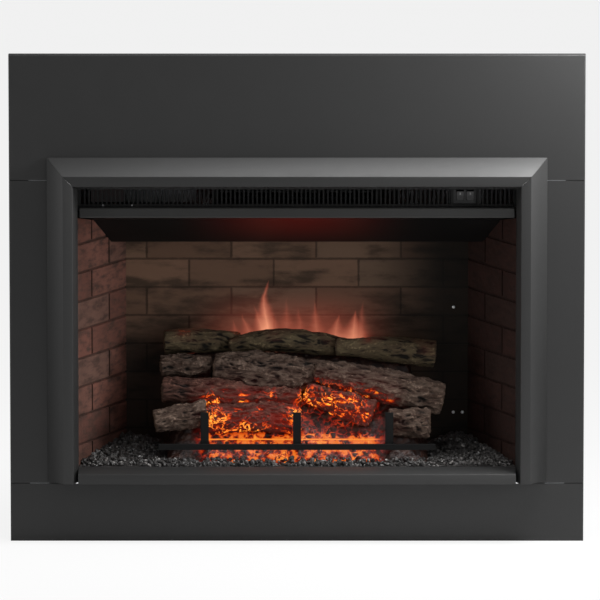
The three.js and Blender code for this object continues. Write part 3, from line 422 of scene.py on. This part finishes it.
# %% [markdown]
# ## Flame screen
# The back wall is a screen printed as brick. Light thrown from behind makes the flames, so on
# the real thing the flames are a glow in the sheet, and here they are emission that follows
# the sheet's own coordinates. A tongue is widest at its foot and bends as it rises.

# %% One tongue of flame
def flame_tongue(finish, x, z, centre, foot, height, width, lean):
    """Brightness of one tongue: 1 on its axis at the foot, 0 at its edge and above its tip."""
    up = finish.math("DIVIDE", finish.math("SUBTRACT", z, foot), height)
    left = finish.math("SUBTRACT", 1.0, up, clamp=True)
    half = finish.math("MULTIPLY", finish.math("POWER", left, 1.15), width)
    bend = finish.math("MULTIPLY", finish.math("MULTIPLY", up, up), lean)
    axis = finish.math("ADD", centre, bend)
    off = finish.math("ABSOLUTE", finish.math("SUBTRACT", x, axis))
    share = finish.math("DIVIDE", off, finish.math("ADD", half, 0.0008))
    inside = finish.math("SUBTRACT", 1.0, share, clamp=True)
    soft = finish.math("POWER", inside, 1.7)
    return finish.math("MULTIPLY", soft, finish.math("POWER", left, 0.45))


# %% [markdown]
# The fire is a handful of tongues: one tall, one broad, and small ones between them, over a
# soft haze where their light spreads in the sheet. The right side of the screen is darkened as
# painted shade, and so is its lower left corner.

# %% Print and flames of the screen
# each tongue: place across, height above the foot, half-width, lean, power
flame_foot = 0.350
flames = [
    (-0.060, 0.112, 0.036, 0.004, 1.30),
    (-0.070, 0.066, 0.030, -0.010, 0.45),
    (-0.098, 0.048, 0.022, -0.004, 0.45),
    (-0.120, 0.036, 0.020, 0.000, 0.35),
    (-0.022, 0.080, 0.030, 0.004, 0.30),
    (0.004, 0.060, 0.026, -0.004, 0.28),
    (0.038, 0.074, 0.028, -0.003, 0.45),
    (0.076, 0.046, 0.032, 0.004, 0.70),
    (0.106, 0.054, 0.038, 0.006, 1.05),
    (0.122, 0.072, 0.030, 0.004, 0.40),
    (-0.185, 0.022, 0.050, 0.000, 0.20),
]


def printed_screen():
    sheet = Finish("printed_screen", roughness=0.7, specular=0.12)
    x = sheet.axis("X")
    z = sheet.axis("Z")
    number, joint = brick_bond(sheet, x, screen_joint)
    tone = sheet.ramp(
        number,
        (0.0, (0.110, 0.063, 0.041)),
        (0.5, (0.165, 0.094, 0.061)),
        (1.0, (0.138, 0.088, 0.059)),
    )
    mottle = sheet.noise(0.05, detail=7, vector=sheet.stretched((0.6, 1, 2)))
    tone = sheet.mixed(sheet.between(mottle, 0.42, 0.68), tone, (0.056, 0.035, 0.023))
    tone = sheet.mixed(sheet.math("MULTIPLY", joint, 0.60), tone, (0.018, 0.011, 0.008))
    # Painted shade: the right side of the screen darkens almost to black.
    right_shade = sheet.between(x, 0.10, 0.28)
    tone = sheet.mixed(sheet.math("MULTIPLY", right_shade, 0.95), tone, (0.004, 0.0035, 0.0025))
    # Painted shade in the lower left corner of the screen.
    corner = sheet.math("MULTIPLY", sheet.between(z, 0.42, 0.30), sheet.between(x, -0.18, -0.27))
    tone = sheet.mixed(sheet.math("MULTIPLY", corner, 0.85), tone, (0.010, 0.008, 0.007))
    sheet.colour(tone)
    sheet.bump(sheet.noise(0.01, detail=5), 0.0012, 0.5)

    wobble = sheet.noise(0.05, detail=2)
    bent = sheet.math("ADD", x, sheet.math("MULTIPLY", sheet.math("SUBTRACT", wobble, 0.5), 0.024))
    total = 0.0
    for centre, height, width, lean, power in flames:
        tongue = flame_tongue(sheet, bent, z, centre, flame_foot, height, width, lean)
        total = sheet.math("ADD", total, sheet.math("MULTIPLY", tongue, power))
    spread = sheet.between(sheet.math("ABSOLUTE", sheet.math("ADD", x, 0.01)), 0.21, 0.05)
    haze = sheet.math("MULTIPLY", sheet.between(z, 0.465, 0.345), spread)
    total = sheet.math("ADD", sheet.math("MULTIPLY", total, 0.62), sheet.math("MULTIPLY", haze, 0.34))
    colour = sheet.ramp(
        total, (0.0, (0.42, 0.09, 0.06)), (0.35, (0.80, 0.17, 0.10)), (1.0, (1.0, 0.36, 0.20)),
    )
    sheet.glow(colour, sheet.math("MULTIPLY", total, 0.80))
    return sheet.material


# %% [markdown]
# ## Hand out the finishes
# Each solid keeps its shape and takes the finish of its slot in the record. The parts behind
# the grille take darker copies as painted shade, and the deflector bar a lighter copy of the
# trim paint as painted light.

# %% Finishes for the solids that stay
finishes = {
    "powder_coat": powder("powder_coat", (0.0130, 0.0130, 0.0130), 0.5),
    "trim_coat": powder("trim_coat", (0.0155, 0.0155, 0.0154), 0.5),
    "matte_black": cast_black("matte_black", 0.006, 0.6, 0.002),
    "gloss_black": gloss_enamel(),
    "galvanised": zinc_sheet(),
    "bright_metal": bright_sheet(),
    "brick_clay": fired_brick(),
    "screen_print": printed_screen(),
    "grate_iron": cast_black("grate_iron", 0.0025, 0.8),
    "control_plastic": moulded("control_plastic", (0.008, 0.008, 0.008), 0.5, 0.0006),
    "rocker_plastic": moulded("rocker_plastic", (0.012, 0.012, 0.012), 0.3, 0.0009),
    "receiver_lens": moulded("receiver_lens", (0.02, 0.004, 0.005), 0.12, 0.002),
    "laminations": cast_black("laminations", 0.10, 0.5, 0.0008),
}
# Darker copies of their finishes for the parts behind the grille: painted shade, as they sit in shade.
shaded = {
    "heating_element": cast_black("shaded_comb", 0.012, 0.6),
    "fan_housing": cast_black("shaded_zinc", 0.02, 0.5),
    "blower_wheel": cast_black("shaded_wheel", 0.01, 0.5),
    # The deflector bar's coat is a lighter copy of the trim paint: painted light. It is also a little
    # glossier.
    "deflector_bar": powder("lit_bar_coat", (0.019, 0.0187, 0.0182), 0.40),
}
node_slot = {part["node"]: part["material_slot"] for part in frame["record"]["subparts"]}
for name, node in nodes.items():
    if node_slot[name] in finishes:
        node.data.materials.clear()
        node.data.materials.append(shaded.get(name, finishes[node_slot[name]]))
print("finished", sum(node_slot[n] in finishes for n in nodes), "solids")

# %% [markdown]
# ## Working copies
# A piece that needs more detail starts as a copy of its solid, so it keeps its seat. The
# solid's triangles are loose, so the copy is merged first.

# %% Copy of a solid as a new piece
def add_piece(name, mesh, material, body="root"):
    """Link a mesh as a piece that rides on one body."""
    piece = bpy.data.objects.new(name, mesh)
    scene.collection.objects.link(piece)
    mesh.materials.clear()
    mesh.materials.append(material)
    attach(piece, body)
    return piece


def finished_mesh(bm, name):
    mesh = bpy.data.meshes.new(name)
    bm.to_mesh(mesh)
    bm.free()
    return mesh


def merged_copy(node_name):
    """The solid's mesh with its triangles joined and its flat faces whole."""
    bm = bmesh.new()
    bm.from_mesh(nodes[node_name].data)
    bmesh.ops.remove_doubles(bm, verts=bm.verts, dist=0.00002)
    bmesh.ops.dissolve_limit(bm, angle_limit=math.radians(0.5), verts=bm.verts, edges=bm.edges)
    return bm


def shade_by_angle(mesh, degrees):
    """Smooth shading, with sharp edges where the faces turn more than the angle."""
    mesh.shade_smooth()
    limit = math.radians(degrees)
    bm = bmesh.new()
    bm.from_mesh(mesh)
    for edge in bm.edges:
        edge.smooth = edge.calc_face_angle(math.pi) < limit
    bm.to_mesh(mesh)
    bm.free()


# %% [markdown]
# ## Softened trim
# The folds of the trim frame catch a thin line of light, because bent sheet has a small radius.
# The copy of each member gets that radius with the bevel operator on its long folds.

# %% Trim frame with bent edges
fold_radius = 0.0007
least_fold = math.radians(20)


def softened(node_name):
    bm = merged_copy(node_name)
    folds = [e for e in bm.edges if e.is_manifold and e.calc_face_angle(0) > least_fold]
    bmesh.ops.bevel(
        bm, geom=folds, offset=fold_radius, segments=3, profile=0.5,
        affect="EDGES", clamp_overlap=True, material=-1,
    )
    mesh = finished_mesh(bm, node_name + "_soft")
    shade_by_angle(mesh, 40)
    slot_name = node_slot[node_name]
    piece = add_piece(node_name + "_soft", mesh, finishes[slot_name])
    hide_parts(node_name)
    print(node_name, len(mesh.polygons), "faces")


for member in ("trim_left", "trim_right", "trim_top", "trim_sill"):
    softened(member)

# %% [markdown]
# ## Logs
# The real logs are cast from wood, then painted. Each solid log is remeshed finely, and its
# skin is pushed in and out by ridged noise that runs along the log, which reads as bark.
# Colour, painted fire light and glow are written to the vertices, because they depend on the
# height and on which way the bark faces.

# %% Remeshed copies
end_zone = 0.02


def fine_mesh(node_name, voxel_size):
    source = finished_mesh(merged_copy(node_name), node_name + "_source")
    holder = bpy.data.objects.new(node_name + "_holder", source)
    scene.collection.objects.link(holder)
    remesh = holder.modifiers.new("voxels", "REMESH")
    remesh.mode = "VOXEL"
    remesh.voxel_size = voxel_size
    relax = holder.modifiers.new("relax", "SMOOTH")
    relax.factor = 0.5
    relax.iterations = 2
    bpy.context.view_layer.update()
    evaluated = holder.evaluated_get(bpy.context.evaluated_depsgraph_get())
    mesh = bpy.data.meshes.new_from_object(evaluated)
    bpy.data.objects.remove(holder)
    bpy.data.meshes.remove(source)
    return mesh


def middle_of(points):
    return sum(points, Vector()) / len(points)


def long_axis(node_name):
    """Middle of a log and the unit vector along it, from the points near its two ends."""
    points = [v.co for v in nodes[node_name].data.vertices]
    low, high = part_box(node_name)
    left = middle_of([p for p in points if p.x < low.x + end_zone])
    right = middle_of([p for p in points if p.x > high.x - end_zone])
    return (left + right) / 2, (right - left).normalized()


def ridged(point, scale, stretch, seed):
    """Noise folded about its middle, drawn out along the log."""
    spot = Vector((point.x / stretch, point.y, point.z)) / scale + Vector((seed, seed * 2, 0))
    return 1.0 - abs(noise.noise(spot)) * 2.0


# %% [markdown]
# Old bark is deeply furrowed and young bark nearly smooth, so the two kinds share one recipe
# and differ in depth. Furrows, crumbs and plates are three noises of falling size.

# %% Height of the bark
bark_depth = {"rough": 0.0085, "smooth": 0.0028}


def bark_height(point, kind, seed):
    """Height of the skin: furrows along the log, with crumbs and broken plates over them."""
    sway = noise.noise(point / 0.03 + Vector((0, 0, seed))) * 0.008
    bent = Vector((point.x, point.y + sway, point.z - sway))
    furrow = ridged(bent, 0.0095, 4.6, seed)
    crumb = ridged(bent, 0.0044, 3.4, seed + 9)
    plates = noise.noise(Vector((point.x / 0.026, point.y / 0.012, point.z / 0.012 + seed)))
    return bark_depth[kind] * (0.50 * furrow + 0.44 * crumb + 0.42 * plates - 0.48)


def store(mesh, name, values):
    layer = mesh.attributes.new(name, "FLOAT", "POINT")
    layer.data.foreach_set("value", values)


# kind of bark, and how strongly the light of the embers or the flames falls on the log
log_kinds = {
    "log_rear_left": ("smooth", 1.0),
    "log_rear_centre": ("smooth", 0.55),
    "log_rear_right": ("smooth", 0.8),
    "log_middle_left": ("rough", 0.15),
    "log_middle_centre": ("rough", 0.25),
    "log_middle_right": ("rough", 0.95),
    "log_runner_left": ("rough", 1.2),
    "log_stub_left": ("rough", 0.35),
    "log_split_right": ("rough", 0.4),
    "log_front_left_ember": ("rough", 1.6),
    "log_front_right_ember": ("rough", 1.8),
}
log_voxel = 0.0016
print("logs to dress:", len(log_kinds))

# %% [markdown]
# ## Bark finish
# One finish serves all the logs. It mixes grey-brown bark, green smooth skin and a red tint of
# fire light, painted light, by the values on the vertices, and glows in the deepest cracks where
# the embers light it.

# %% Cracks and the colour of heat
def glowing_cracks(finish, size):
    """Winding lines where a distorted noise crosses its middle, brighter in patches."""
    wander = finish.noise(size, detail=5, rough=0.6, distortion=0.8)
    line = finish.between(finish.math("ABSOLUTE", finish.math("SUBTRACT", wander, 0.5)), 0.042, 0.0)
    patch = finish.between(finish.noise(size * 1.8, detail=3), 0.38, 0.60)
    blot = finish.between(finish.noise(size * 0.45, detail=4), 0.56, 0.70)
    return finish.math("MULTIPLY", finish.math("MAXIMUM", line, blot), patch)


def heat_colour(finish, heat):
    """Dark red where it is cool, through orange, to yellow where it is hottest."""
    return finish.ramp(
        heat, (0.0, (0.20, 0.002, 0.000)), (0.30, (0.60, 0.018, 0.001)),
        (0.62, (0.95, 0.120, 0.004)), (1.0, (1.0, 0.420, 0.050)),
    )


# %% [markdown]
# The furrows are darkened as painted shade, and pale flecks on the ridges are painted
# highlights. Where the fire's light falls the skin takes a red tint, painted light, and the
# furrows glow first.

# %% Finish of the bark
def bark_finish(name, skin, pale, fire_tint, glow_power):
    bark = Finish(name, roughness=0.85, specular=0.3)

    def stored(label):
        node = bark.tree.nodes.new("ShaderNodeAttribute")
        node.attribute_name = label
        return node.outputs["Fac"]

    height = stored("bark")
    fire_light = stored("ember")
    mottle = bark.noise(0.010, detail=7, rough=0.65, vector=bark.stretched((0.3, 1, 1)))
    tone = bark.mixed(bark.between(mottle, 0.35, 0.7), skin, pale)
    # Painted shade: the furrows darken almost to black.
    tone = bark.mixed(bark.between(height, 0.58, 0.30), tone, tuple(c * 0.08 for c in skin))
    # Painted highlight: pale flecks on the ridges.
    flake = bark.between(bark.noise(0.005, detail=5), 0.44, 0.60)
    ridge_highlight = bark.math("MULTIPLY", bark.between(height, 0.60, 0.85), flake)
    tone = bark.mixed(bark.math("MULTIPLY", ridge_highlight, 0.6), tone, tuple(min(1, c * 2.4) for c in pale))
    rings = bark.between(bark.noise(0.0035, detail=3), 0.4, 0.6)
    wood = bark.mixed(rings, (0.15, 0.095, 0.060), (0.085, 0.050, 0.032))
    tone = bark.mixed(bark.math("MULTIPLY", stored("cut"), 0.85), tone, wood)
    sunk = bark.between(height, 0.82, 0.36)
    # Painted light: a red tint where the fire's light falls, deeper in the furrows.
    tone = bark.mixed(bark.math("MULTIPLY", fire_light, 0.45), tone, fire_tint)
    tone = bark.mixed(bark.math("MULTIPLY", bark.math("MULTIPLY", fire_light, sunk), 0.6), tone, fire_tint)
    bark.colour(tone)
    bark.bump(bark.noise(0.0028, detail=6, rough=0.7, vector=bark.stretched((0.22, 1, 1))), 0.004, 1.0)
    cracks = glowing_cracks(bark, 0.030)
    low = bark.between(height, 0.62, 0.30)
    patches = bark.between(bark.noise(0.02, detail=3), 0.46, 0.62)
    lit = bark.math("MAXIMUM", cracks, bark.math("MULTIPLY", low, patches))
    heat = bark.math("MULTIPLY", lit, bark.between(fire_light, 0.22, 0.85))
    # Painted light: a dull red glow where the fire's light falls into the furrows.
    dull = bark.math("MULTIPLY", bark.math("MULTIPLY", fire_light, sunk), 0.14)
    heat = bark.math("MAXIMUM", heat, dull)
    bark.glow(heat_colour(bark, heat), bark.math("MULTIPLY", heat, glow_power))
    return bark.material


# skin, pale skin, red tint of the painted fire light, and the power of the glow
finishes["log_bark"] = bark_finish(
    "log_bark", (0.050, 0.027, 0.018), (0.125, 0.086, 0.065), (0.095, 0.014, 0.008), 1.0,
)
finishes["log_green"] = bark_finish(
    "log_green", (0.074, 0.050, 0.027), (0.122, 0.092, 0.050), (0.150, 0.030, 0.018), 0.16,
)
finishes["log_ember"] = bark_finish(
    "log_ember", (0.045, 0.017, 0.011), (0.105, 0.048, 0.034), (0.100, 0.014, 0.008), 1.55,
)


# %% [markdown]
# Each log is dressed in one pass over its vertices. The sawn ends keep flat faces with paler
# wood. The light of the embers falls on what lies low in the middle and faces down, and the
# light of the flames on the tops of the smooth logs at the back; it is stored for the painted
# fire light.

# %% Logs with bark
glow_height = 0.238
glow_half_height = 0.066
glow_half_width = 0.15
glow_fade = 0.06


def clamped(value):
    return max(0.0, min(1.0, value))


def fire_light_at(place, up, kind, local):
    """How much light of the embers or the flames reaches one point of a log, for the painted fire light.
    """
    if kind == "smooth":
        return 0.75 * max(0.0, up) * max(0.0, noise.noise(local / 0.03) + 0.45)
    across = 1.0 - (abs(place.x) - glow_half_width) / glow_fade
    depth = 1.3 - abs(place.z - glow_height) / glow_half_height
    return clamped(depth) * clamped(across) * (0.75 - 0.45 * up)


def dress_log(node_name, kind, ember, seed):
    mesh = fine_mesh(node_name, log_voxel)
    middle, along = long_axis(node_name)
    turn = along.to_track_quat("X", "Z").to_matrix().transposed()
    low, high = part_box(node_name)
    half = (high - low).x / 2
    bark, warm, cut, moved = [], [], [], []
    for vertex in mesh.vertices:
        local = turn @ (vertex.co - middle)
        sawn = clamped((abs(vertex.normal.dot(along)) - 0.75) * 6)
        end = max(0.0, (abs(local.x) / half - 0.93) * 10)
        height = bark_height(local, kind, seed)
        lift = height * (1.0 - 0.8 * sawn * min(1.0, end))
        moved.append(vertex.co + vertex.normal * lift)
        bark.append(clamped(0.55 + 0.55 * height / bark_depth[kind]))
        cut.append(min(1.0, sawn * end * 1.5))
        warm.append(clamped(fire_light_at(vertex.co, vertex.normal.z, kind, local) * ember))
    for vertex, place in zip(mesh.vertices, moved):
        vertex.co = place
    for label, values in (("bark", bark), ("ember", warm), ("cut", cut)):
        store(mesh, label, values)
    mesh.shade_smooth()
    slot_name = node_slot[node_name]
    piece = add_piece(node_name + "_bark", mesh, finishes[slot_name])
    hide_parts(node_name)
    return len(mesh.polygons)


for seed, (name, (kind, ember)) in enumerate(log_kinds.items()):
    print(name, dress_log(name, kind, ember, seed * 3.7 + 1.3), "faces")

# %% [markdown]
# ## Ember bed
# The bed is a clear amber moulding lit from below. Its skin is a crust of lumps, bright in the
# valleys and dark on the lumps, so the glow follows a cell pattern that also shapes the skin.

# %% Ember bed
lamp_line = 0.1835


def ember_finish():
    ember = Finish("ember_resin", roughness=0.5, specular=0.4)
    node = ember.tree.nodes.new("ShaderNodeAttribute")
    node.attribute_name = "crust"
    crust = node.outputs["Fac"]
    ash = ember.noise(0.012, detail=6)
    tone = ember.mixed(ember.between(ash, 0.4, 0.65), (0.014, 0.005, 0.004), (0.05, 0.020, 0.013))
    ember.colour(tone)
    ember.bump(ember.noise(0.004, detail=5), 0.002, 0.8)
    z = ember.axis("Z")
    cracks = ember.math("MAXIMUM", glowing_cracks(ember, 0.022), ember.between(crust, 0.26, 0.05))
    drift = ember.between(ember.noise(0.030, detail=4), 0.36, 0.60)
    deep = ember.math("MULTIPLY", ember.between(z, 0.206, 0.188), 0.85)
    upper = ember.math("MULTIPLY", ember.between(z, 0.30, 0.24), 0.45)
    edge = ember.between(ember.math("ABSOLUTE", ember.math("ADD", ember.axis("X"), 0.012)), 0.190, 0.150)
    base = ember.math("MULTIPLY", ember.math("MAXIMUM", deep, upper), edge)
    heat = ember.math("MULTIPLY", ember.math("MULTIPLY", cracks, drift), base)
    coals = ember.math("MULTIPLY", ember.between(ember.noise(0.016, detail=4), 0.43, 0.60), deep)
    strong = ember.math("MULTIPLY", edge, 0.85)
    heat = ember.math("MAXIMUM", heat, ember.math("MULTIPLY", coals, strong))
    from_line = ember.math("ABSOLUTE", ember.math("SUBTRACT", z, lamp_line))
    line = ember.math("MULTIPLY", ember.between(from_line, 0.0026, 0.0004), strong)
    heat = ember.math("MAXIMUM", heat, line)
    ember.glow(heat_colour(ember, heat), ember.math("MULTIPLY", heat, 1.15))
    return ember.material


finishes["ember_resin"] = ember_finish()
# %% [markdown]
# The lumps stand out most on the solid's top and less on its sides, so the bed keeps its seat
# between the logs and the grate.

# %% Crust of the ember bed
lump_size = 0.013
lump_rise = 0.0060
bed_voxel = 0.0024
bed_mesh = fine_mesh("ember_bed", bed_voxel)
crust = []
bed_places = []
for vertex in bed_mesh.vertices:
    near = noise.voronoi(vertex.co / lump_size)[0]
    lump = min(1.0, near[1] - near[0])
    crust.append(min(1.0, lump * 1.5))
    top = max(0.0, vertex.normal.z)
    bed_places.append(vertex.co + vertex.normal * (lump_rise * (lump - 0.45)) * (0.3 + 0.7 * top))
for vertex, place in zip(bed_mesh.vertices, bed_places):
    vertex.co = place
store(bed_mesh, "crust", crust)
bed_mesh.shade_smooth()
bed = add_piece("ember_crust", bed_mesh, finishes["ember_resin"])
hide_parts("ember_bed")
print("ember crust", len(bed_mesh.polygons), "faces")

# %% [markdown]
# ## Loose stones
# Broken black and grey glassy stones lie over the hearth. Each is an icosphere of few faces,
# squashed, turned and knocked about, and they are laid over the moulded layer in a scatter.

# %% Stones
def stone_finish(name, dark, pale):
    stone = Finish(name, roughness=0.5, specular=0.6)
    fleck = stone.between(stone.noise(0.006, detail=5), 0.45, 0.62)
    stone.colour(stone.mixed(fleck, dark, pale))
    stone.roughness(stone.between(stone.noise(0.004, detail=2), -0.4, 1.3))
    stone.bump(stone.noise(0.002, detail=4), 0.0008, 0.6)
    return stone.material


finishes["stone_grey"] = stone_finish("stone_grey", (0.009, 0.0075, 0.007), (0.042, 0.038, 0.036))
stone_pale = stone_finish("stone_pale", (0.05, 0.046, 0.044), (0.24, 0.225, 0.215))
stones_node = nodes["stone_bed"]
stones_node.data.materials.clear()
stones_node.data.materials.append(finishes["stone_grey"])
print("moulded layer of stones finished")

# %% [markdown]
# Loose stones rest on the moulded layer, so each one is dropped straight down onto it. They
# are drawn from one seeded source, which gives the same scatter each time.

# %% Scattered stones
stones_low, stones_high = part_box("stone_bed")
draw = random.Random(11)
tree_bm = bmesh.new()
tree_bm.from_mesh(stones_node.data)
layer_tree = BVHTree.FromBMesh(tree_bm)
tree_bm.free()


def add_stone(bm, place, size):
    made = bmesh.ops.create_icosphere(bm, subdivisions=1, radius=1.0)["verts"]
    shape = Matrix.Diagonal((draw.uniform(0.7, 1.2), draw.uniform(0.7, 1.2), draw.uniform(0.5, 0.9)))
    angle = draw.uniform(0, 6.28)
    spin = Matrix.Rotation(angle, 3, Vector((draw.random(), draw.random(), 1)).normalized())
    for vertex in made:
        knock = draw.uniform(0.75, 1.15)
        vertex.co = place + (spin @ (shape @ vertex.co)) * size * knock


def scatter(name, count, material, sizes):
    bm = bmesh.new()
    placed = 0
    while placed < count:
        x = draw.uniform(stones_low.x + 0.008, stones_high.x - 0.008)
        y = draw.uniform(stones_low.y + 0.006, stones_high.y - 0.006)
        place = layer_tree.ray_cast(Vector((x, y, 1.0)), Vector((0, 0, -1)))[0]
        if place is None:
            continue
        size = draw.uniform(*sizes)
        add_stone(bm, place + Vector((0, 0, size * 0.25)), size)
        placed += 1
    add_piece(name, finished_mesh(bm, name), material)
    print(name, count)


scatter("dark_stones", 1100, finishes["stone_grey"], (0.0035, 0.0085))
scatter("pale_stones", 620, stone_pale, (0.0022, 0.0052))


# %% [markdown]
# The stones are banked up against the front lip, where they hide the foot of the ember bed.

# %% Bank of stones at the front
bank_foot = 0.138
bank_top = 0.1455


def bank(name, count, material, sizes):
    bm = bmesh.new()
    for _ in range(count):
        size = draw.uniform(*sizes)
        x = draw.uniform(stones_low.x + 0.010, stones_high.x - 0.010)
        deep = draw.random()
        y = stones_low.y + 0.005 + 0.013 * deep
        z = draw.uniform(bank_foot, bank_top + 0.008 * deep)
        add_stone(bm, Vector((x, y, z)), size)
    add_piece(name, finished_mesh(bm, name), material)
    print(name, count)


bank("front_stones", 620, finishes["stone_grey"], (0.0035, 0.0062))
bank("front_ash", 420, stone_pale, (0.0024, 0.0046))

# %% [markdown]
# ## Screws
# Small pan-head screws hold the panels. Each is a low domed head with a pressed centre, and
# the same head is laid wherever a fastener shows.

# %% Screw heads
def screw_head(bm, place, outward, radius):
    """A domed head: a disc, drawn in as it rises, with a pressed centre."""
    turn = outward.to_track_quat("Z", "Y").to_matrix().to_4x4()
    disc = bmesh.ops.create_circle(bm, cap_ends=True, radius=radius, segments=16)["verts"]
    face = disc[0].link_faces[0]
    rise = radius * 0.28
    for shrink, lift in ((1.0, rise), (0.8, rise * 0.6), (0.5, rise * 0.2), (0.3, -rise)):
        grown = bmesh.ops.extrude_discrete_faces(bm, faces=[face])["faces"][0]
        centre = grown.calc_center_median()
        ratio = shrink * radius / max((v.co - centre).length for v in grown.verts)
        for vertex in grown.verts:
            vertex.co = centre + (vertex.co - centre) * ratio + Vector((0, 0, lift))
        face = grown
    made = set(disc)
    stack = list(disc)
    while stack:
        for edge in stack.pop().link_edges:
            for vertex in edge.verts:
                if vertex not in made:
                    made.add(vertex)
                    stack.append(vertex)
    bmesh.ops.transform(bm, matrix=Matrix.Translation(place) @ turn, verts=list(made))


def screws(name, places, outward, radius, material):
    bm = bmesh.new()
    for place in places:
        screw_head(bm, Vector(place), Vector(outward), radius)
    bmesh.ops.recalc_face_normals(bm, faces=bm.faces)
    mesh = finished_mesh(bm, name)
    shade_by_angle(mesh, 50)
    add_piece(name, mesh, material)
    print(name, len(places))


# %% [markdown]
# Screws run along the upper and lower edges of the back panel, and six hold the rear cover.

# %% Screws on the back
back_low, back_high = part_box("casing_back")
cover_low, cover_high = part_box("rear_cover")
margin = 0.012
pitch = (back_high.x - back_low.x - 2 * margin) / 5
back_xs = [back_low.x + margin + i * pitch for i in range(6)]
back_zs = (back_low.z + margin, back_high.z - margin)
back_places = [(x, back_high.y, z) for x in back_xs for z in back_zs]
cover_face = back_high.y + 0.0015
flange = 0.006
cover_xs = (cover_low.x + flange, 0, cover_high.x - flange)
cover_zs = (cover_low.z + flange, cover_high.z - flange)
cover_places = [(x, cover_face, z) for x in cover_xs for z in cover_zs]
screws("back_screws", back_places, (0, 1, 0), 0.0038, finishes["bright_metal"])
screws("cover_screws", cover_places, (0, 1, 0), 0.0036, finishes["bright_metal"])

# %% [markdown]
# ## Laps behind the seams
# The pressed panels meet at open seams. A thin dark lap behind each seam keeps what lies
# behind from showing and stands in for the shade inside the seam: painted shade.

# %% Seam laps
def plates(name, boxes, material, slot_name, body="root"):
    bm = bmesh.new()
    for low, high in boxes:
        low, high = Vector(low), Vector(high)
        size = Matrix.Diagonal((*(high - low), 1.0))
        bmesh.ops.create_cube(bm, size=1.0, matrix=Matrix.Translation((low + high) / 2) @ size)
    add_piece(name, finished_mesh(bm, name), material, body)
    print(name, len(boxes), "plates on", body)


leg_low, leg_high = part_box("surround_right")
lap_front = surround_front + 0.0042
lap_back = lap_front + 0.001
lap_reach = 0.008
laps = []
for side in (-1, 1):
    for seam in (leg_low.z, leg_high.z):
        left, right = sorted((side * (leg_low.x + 0.003), side * (leg_high.x - 0.0002)))
        laps.append(((left, lap_front, seam - lap_reach), (right, lap_back, seam + lap_reach)))
plates("seam_laps", laps, finishes["powder_coat"], "powder_coat")

# %% [markdown]
# ## Marks, lenses and side screws
# Each switch carries one small raised bar and rides with it. Two small lenses show on the
# grille, and three screws hold the right edge of the screen.

# %% Marks and lenses
mark_half = 0.0012
mark_paint = cast_black("mark_paint", 0.30, 0.5)
for rocker in ("power_rocker", "heater_rocker"):
    low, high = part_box(rocker)
    centre = (low.x + high.x) / 2
    foot = Vector((centre - mark_half, low.y + 0.0006, high.z - 0.0075))
    head = Vector((centre + mark_half, low.y + 0.0022, high.z - 0.0035))
    plates(rocker + "_mark", [(foot, head)], mark_paint, "rocker_plastic", rocker)

screen_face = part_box("flame_screen")[0].y
side_spots = ((0.295, 0.410), (0.295, 0.2096), (0.312, 0.2096))
side_places = [(x, screen_face, z) for x, z in side_spots]
screws("screen_screws", side_places, (0, -1, 0), 0.0030, finishes["bright_metal"])
grille_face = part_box("louvre_grille")[0].y
lens_places = [(-0.360, grille_face, 0.6293), (-0.306, grille_face, 0.6293)]
screws("pilot_lenses", lens_places, (0, -1, 0), 0.0016, mark_paint)
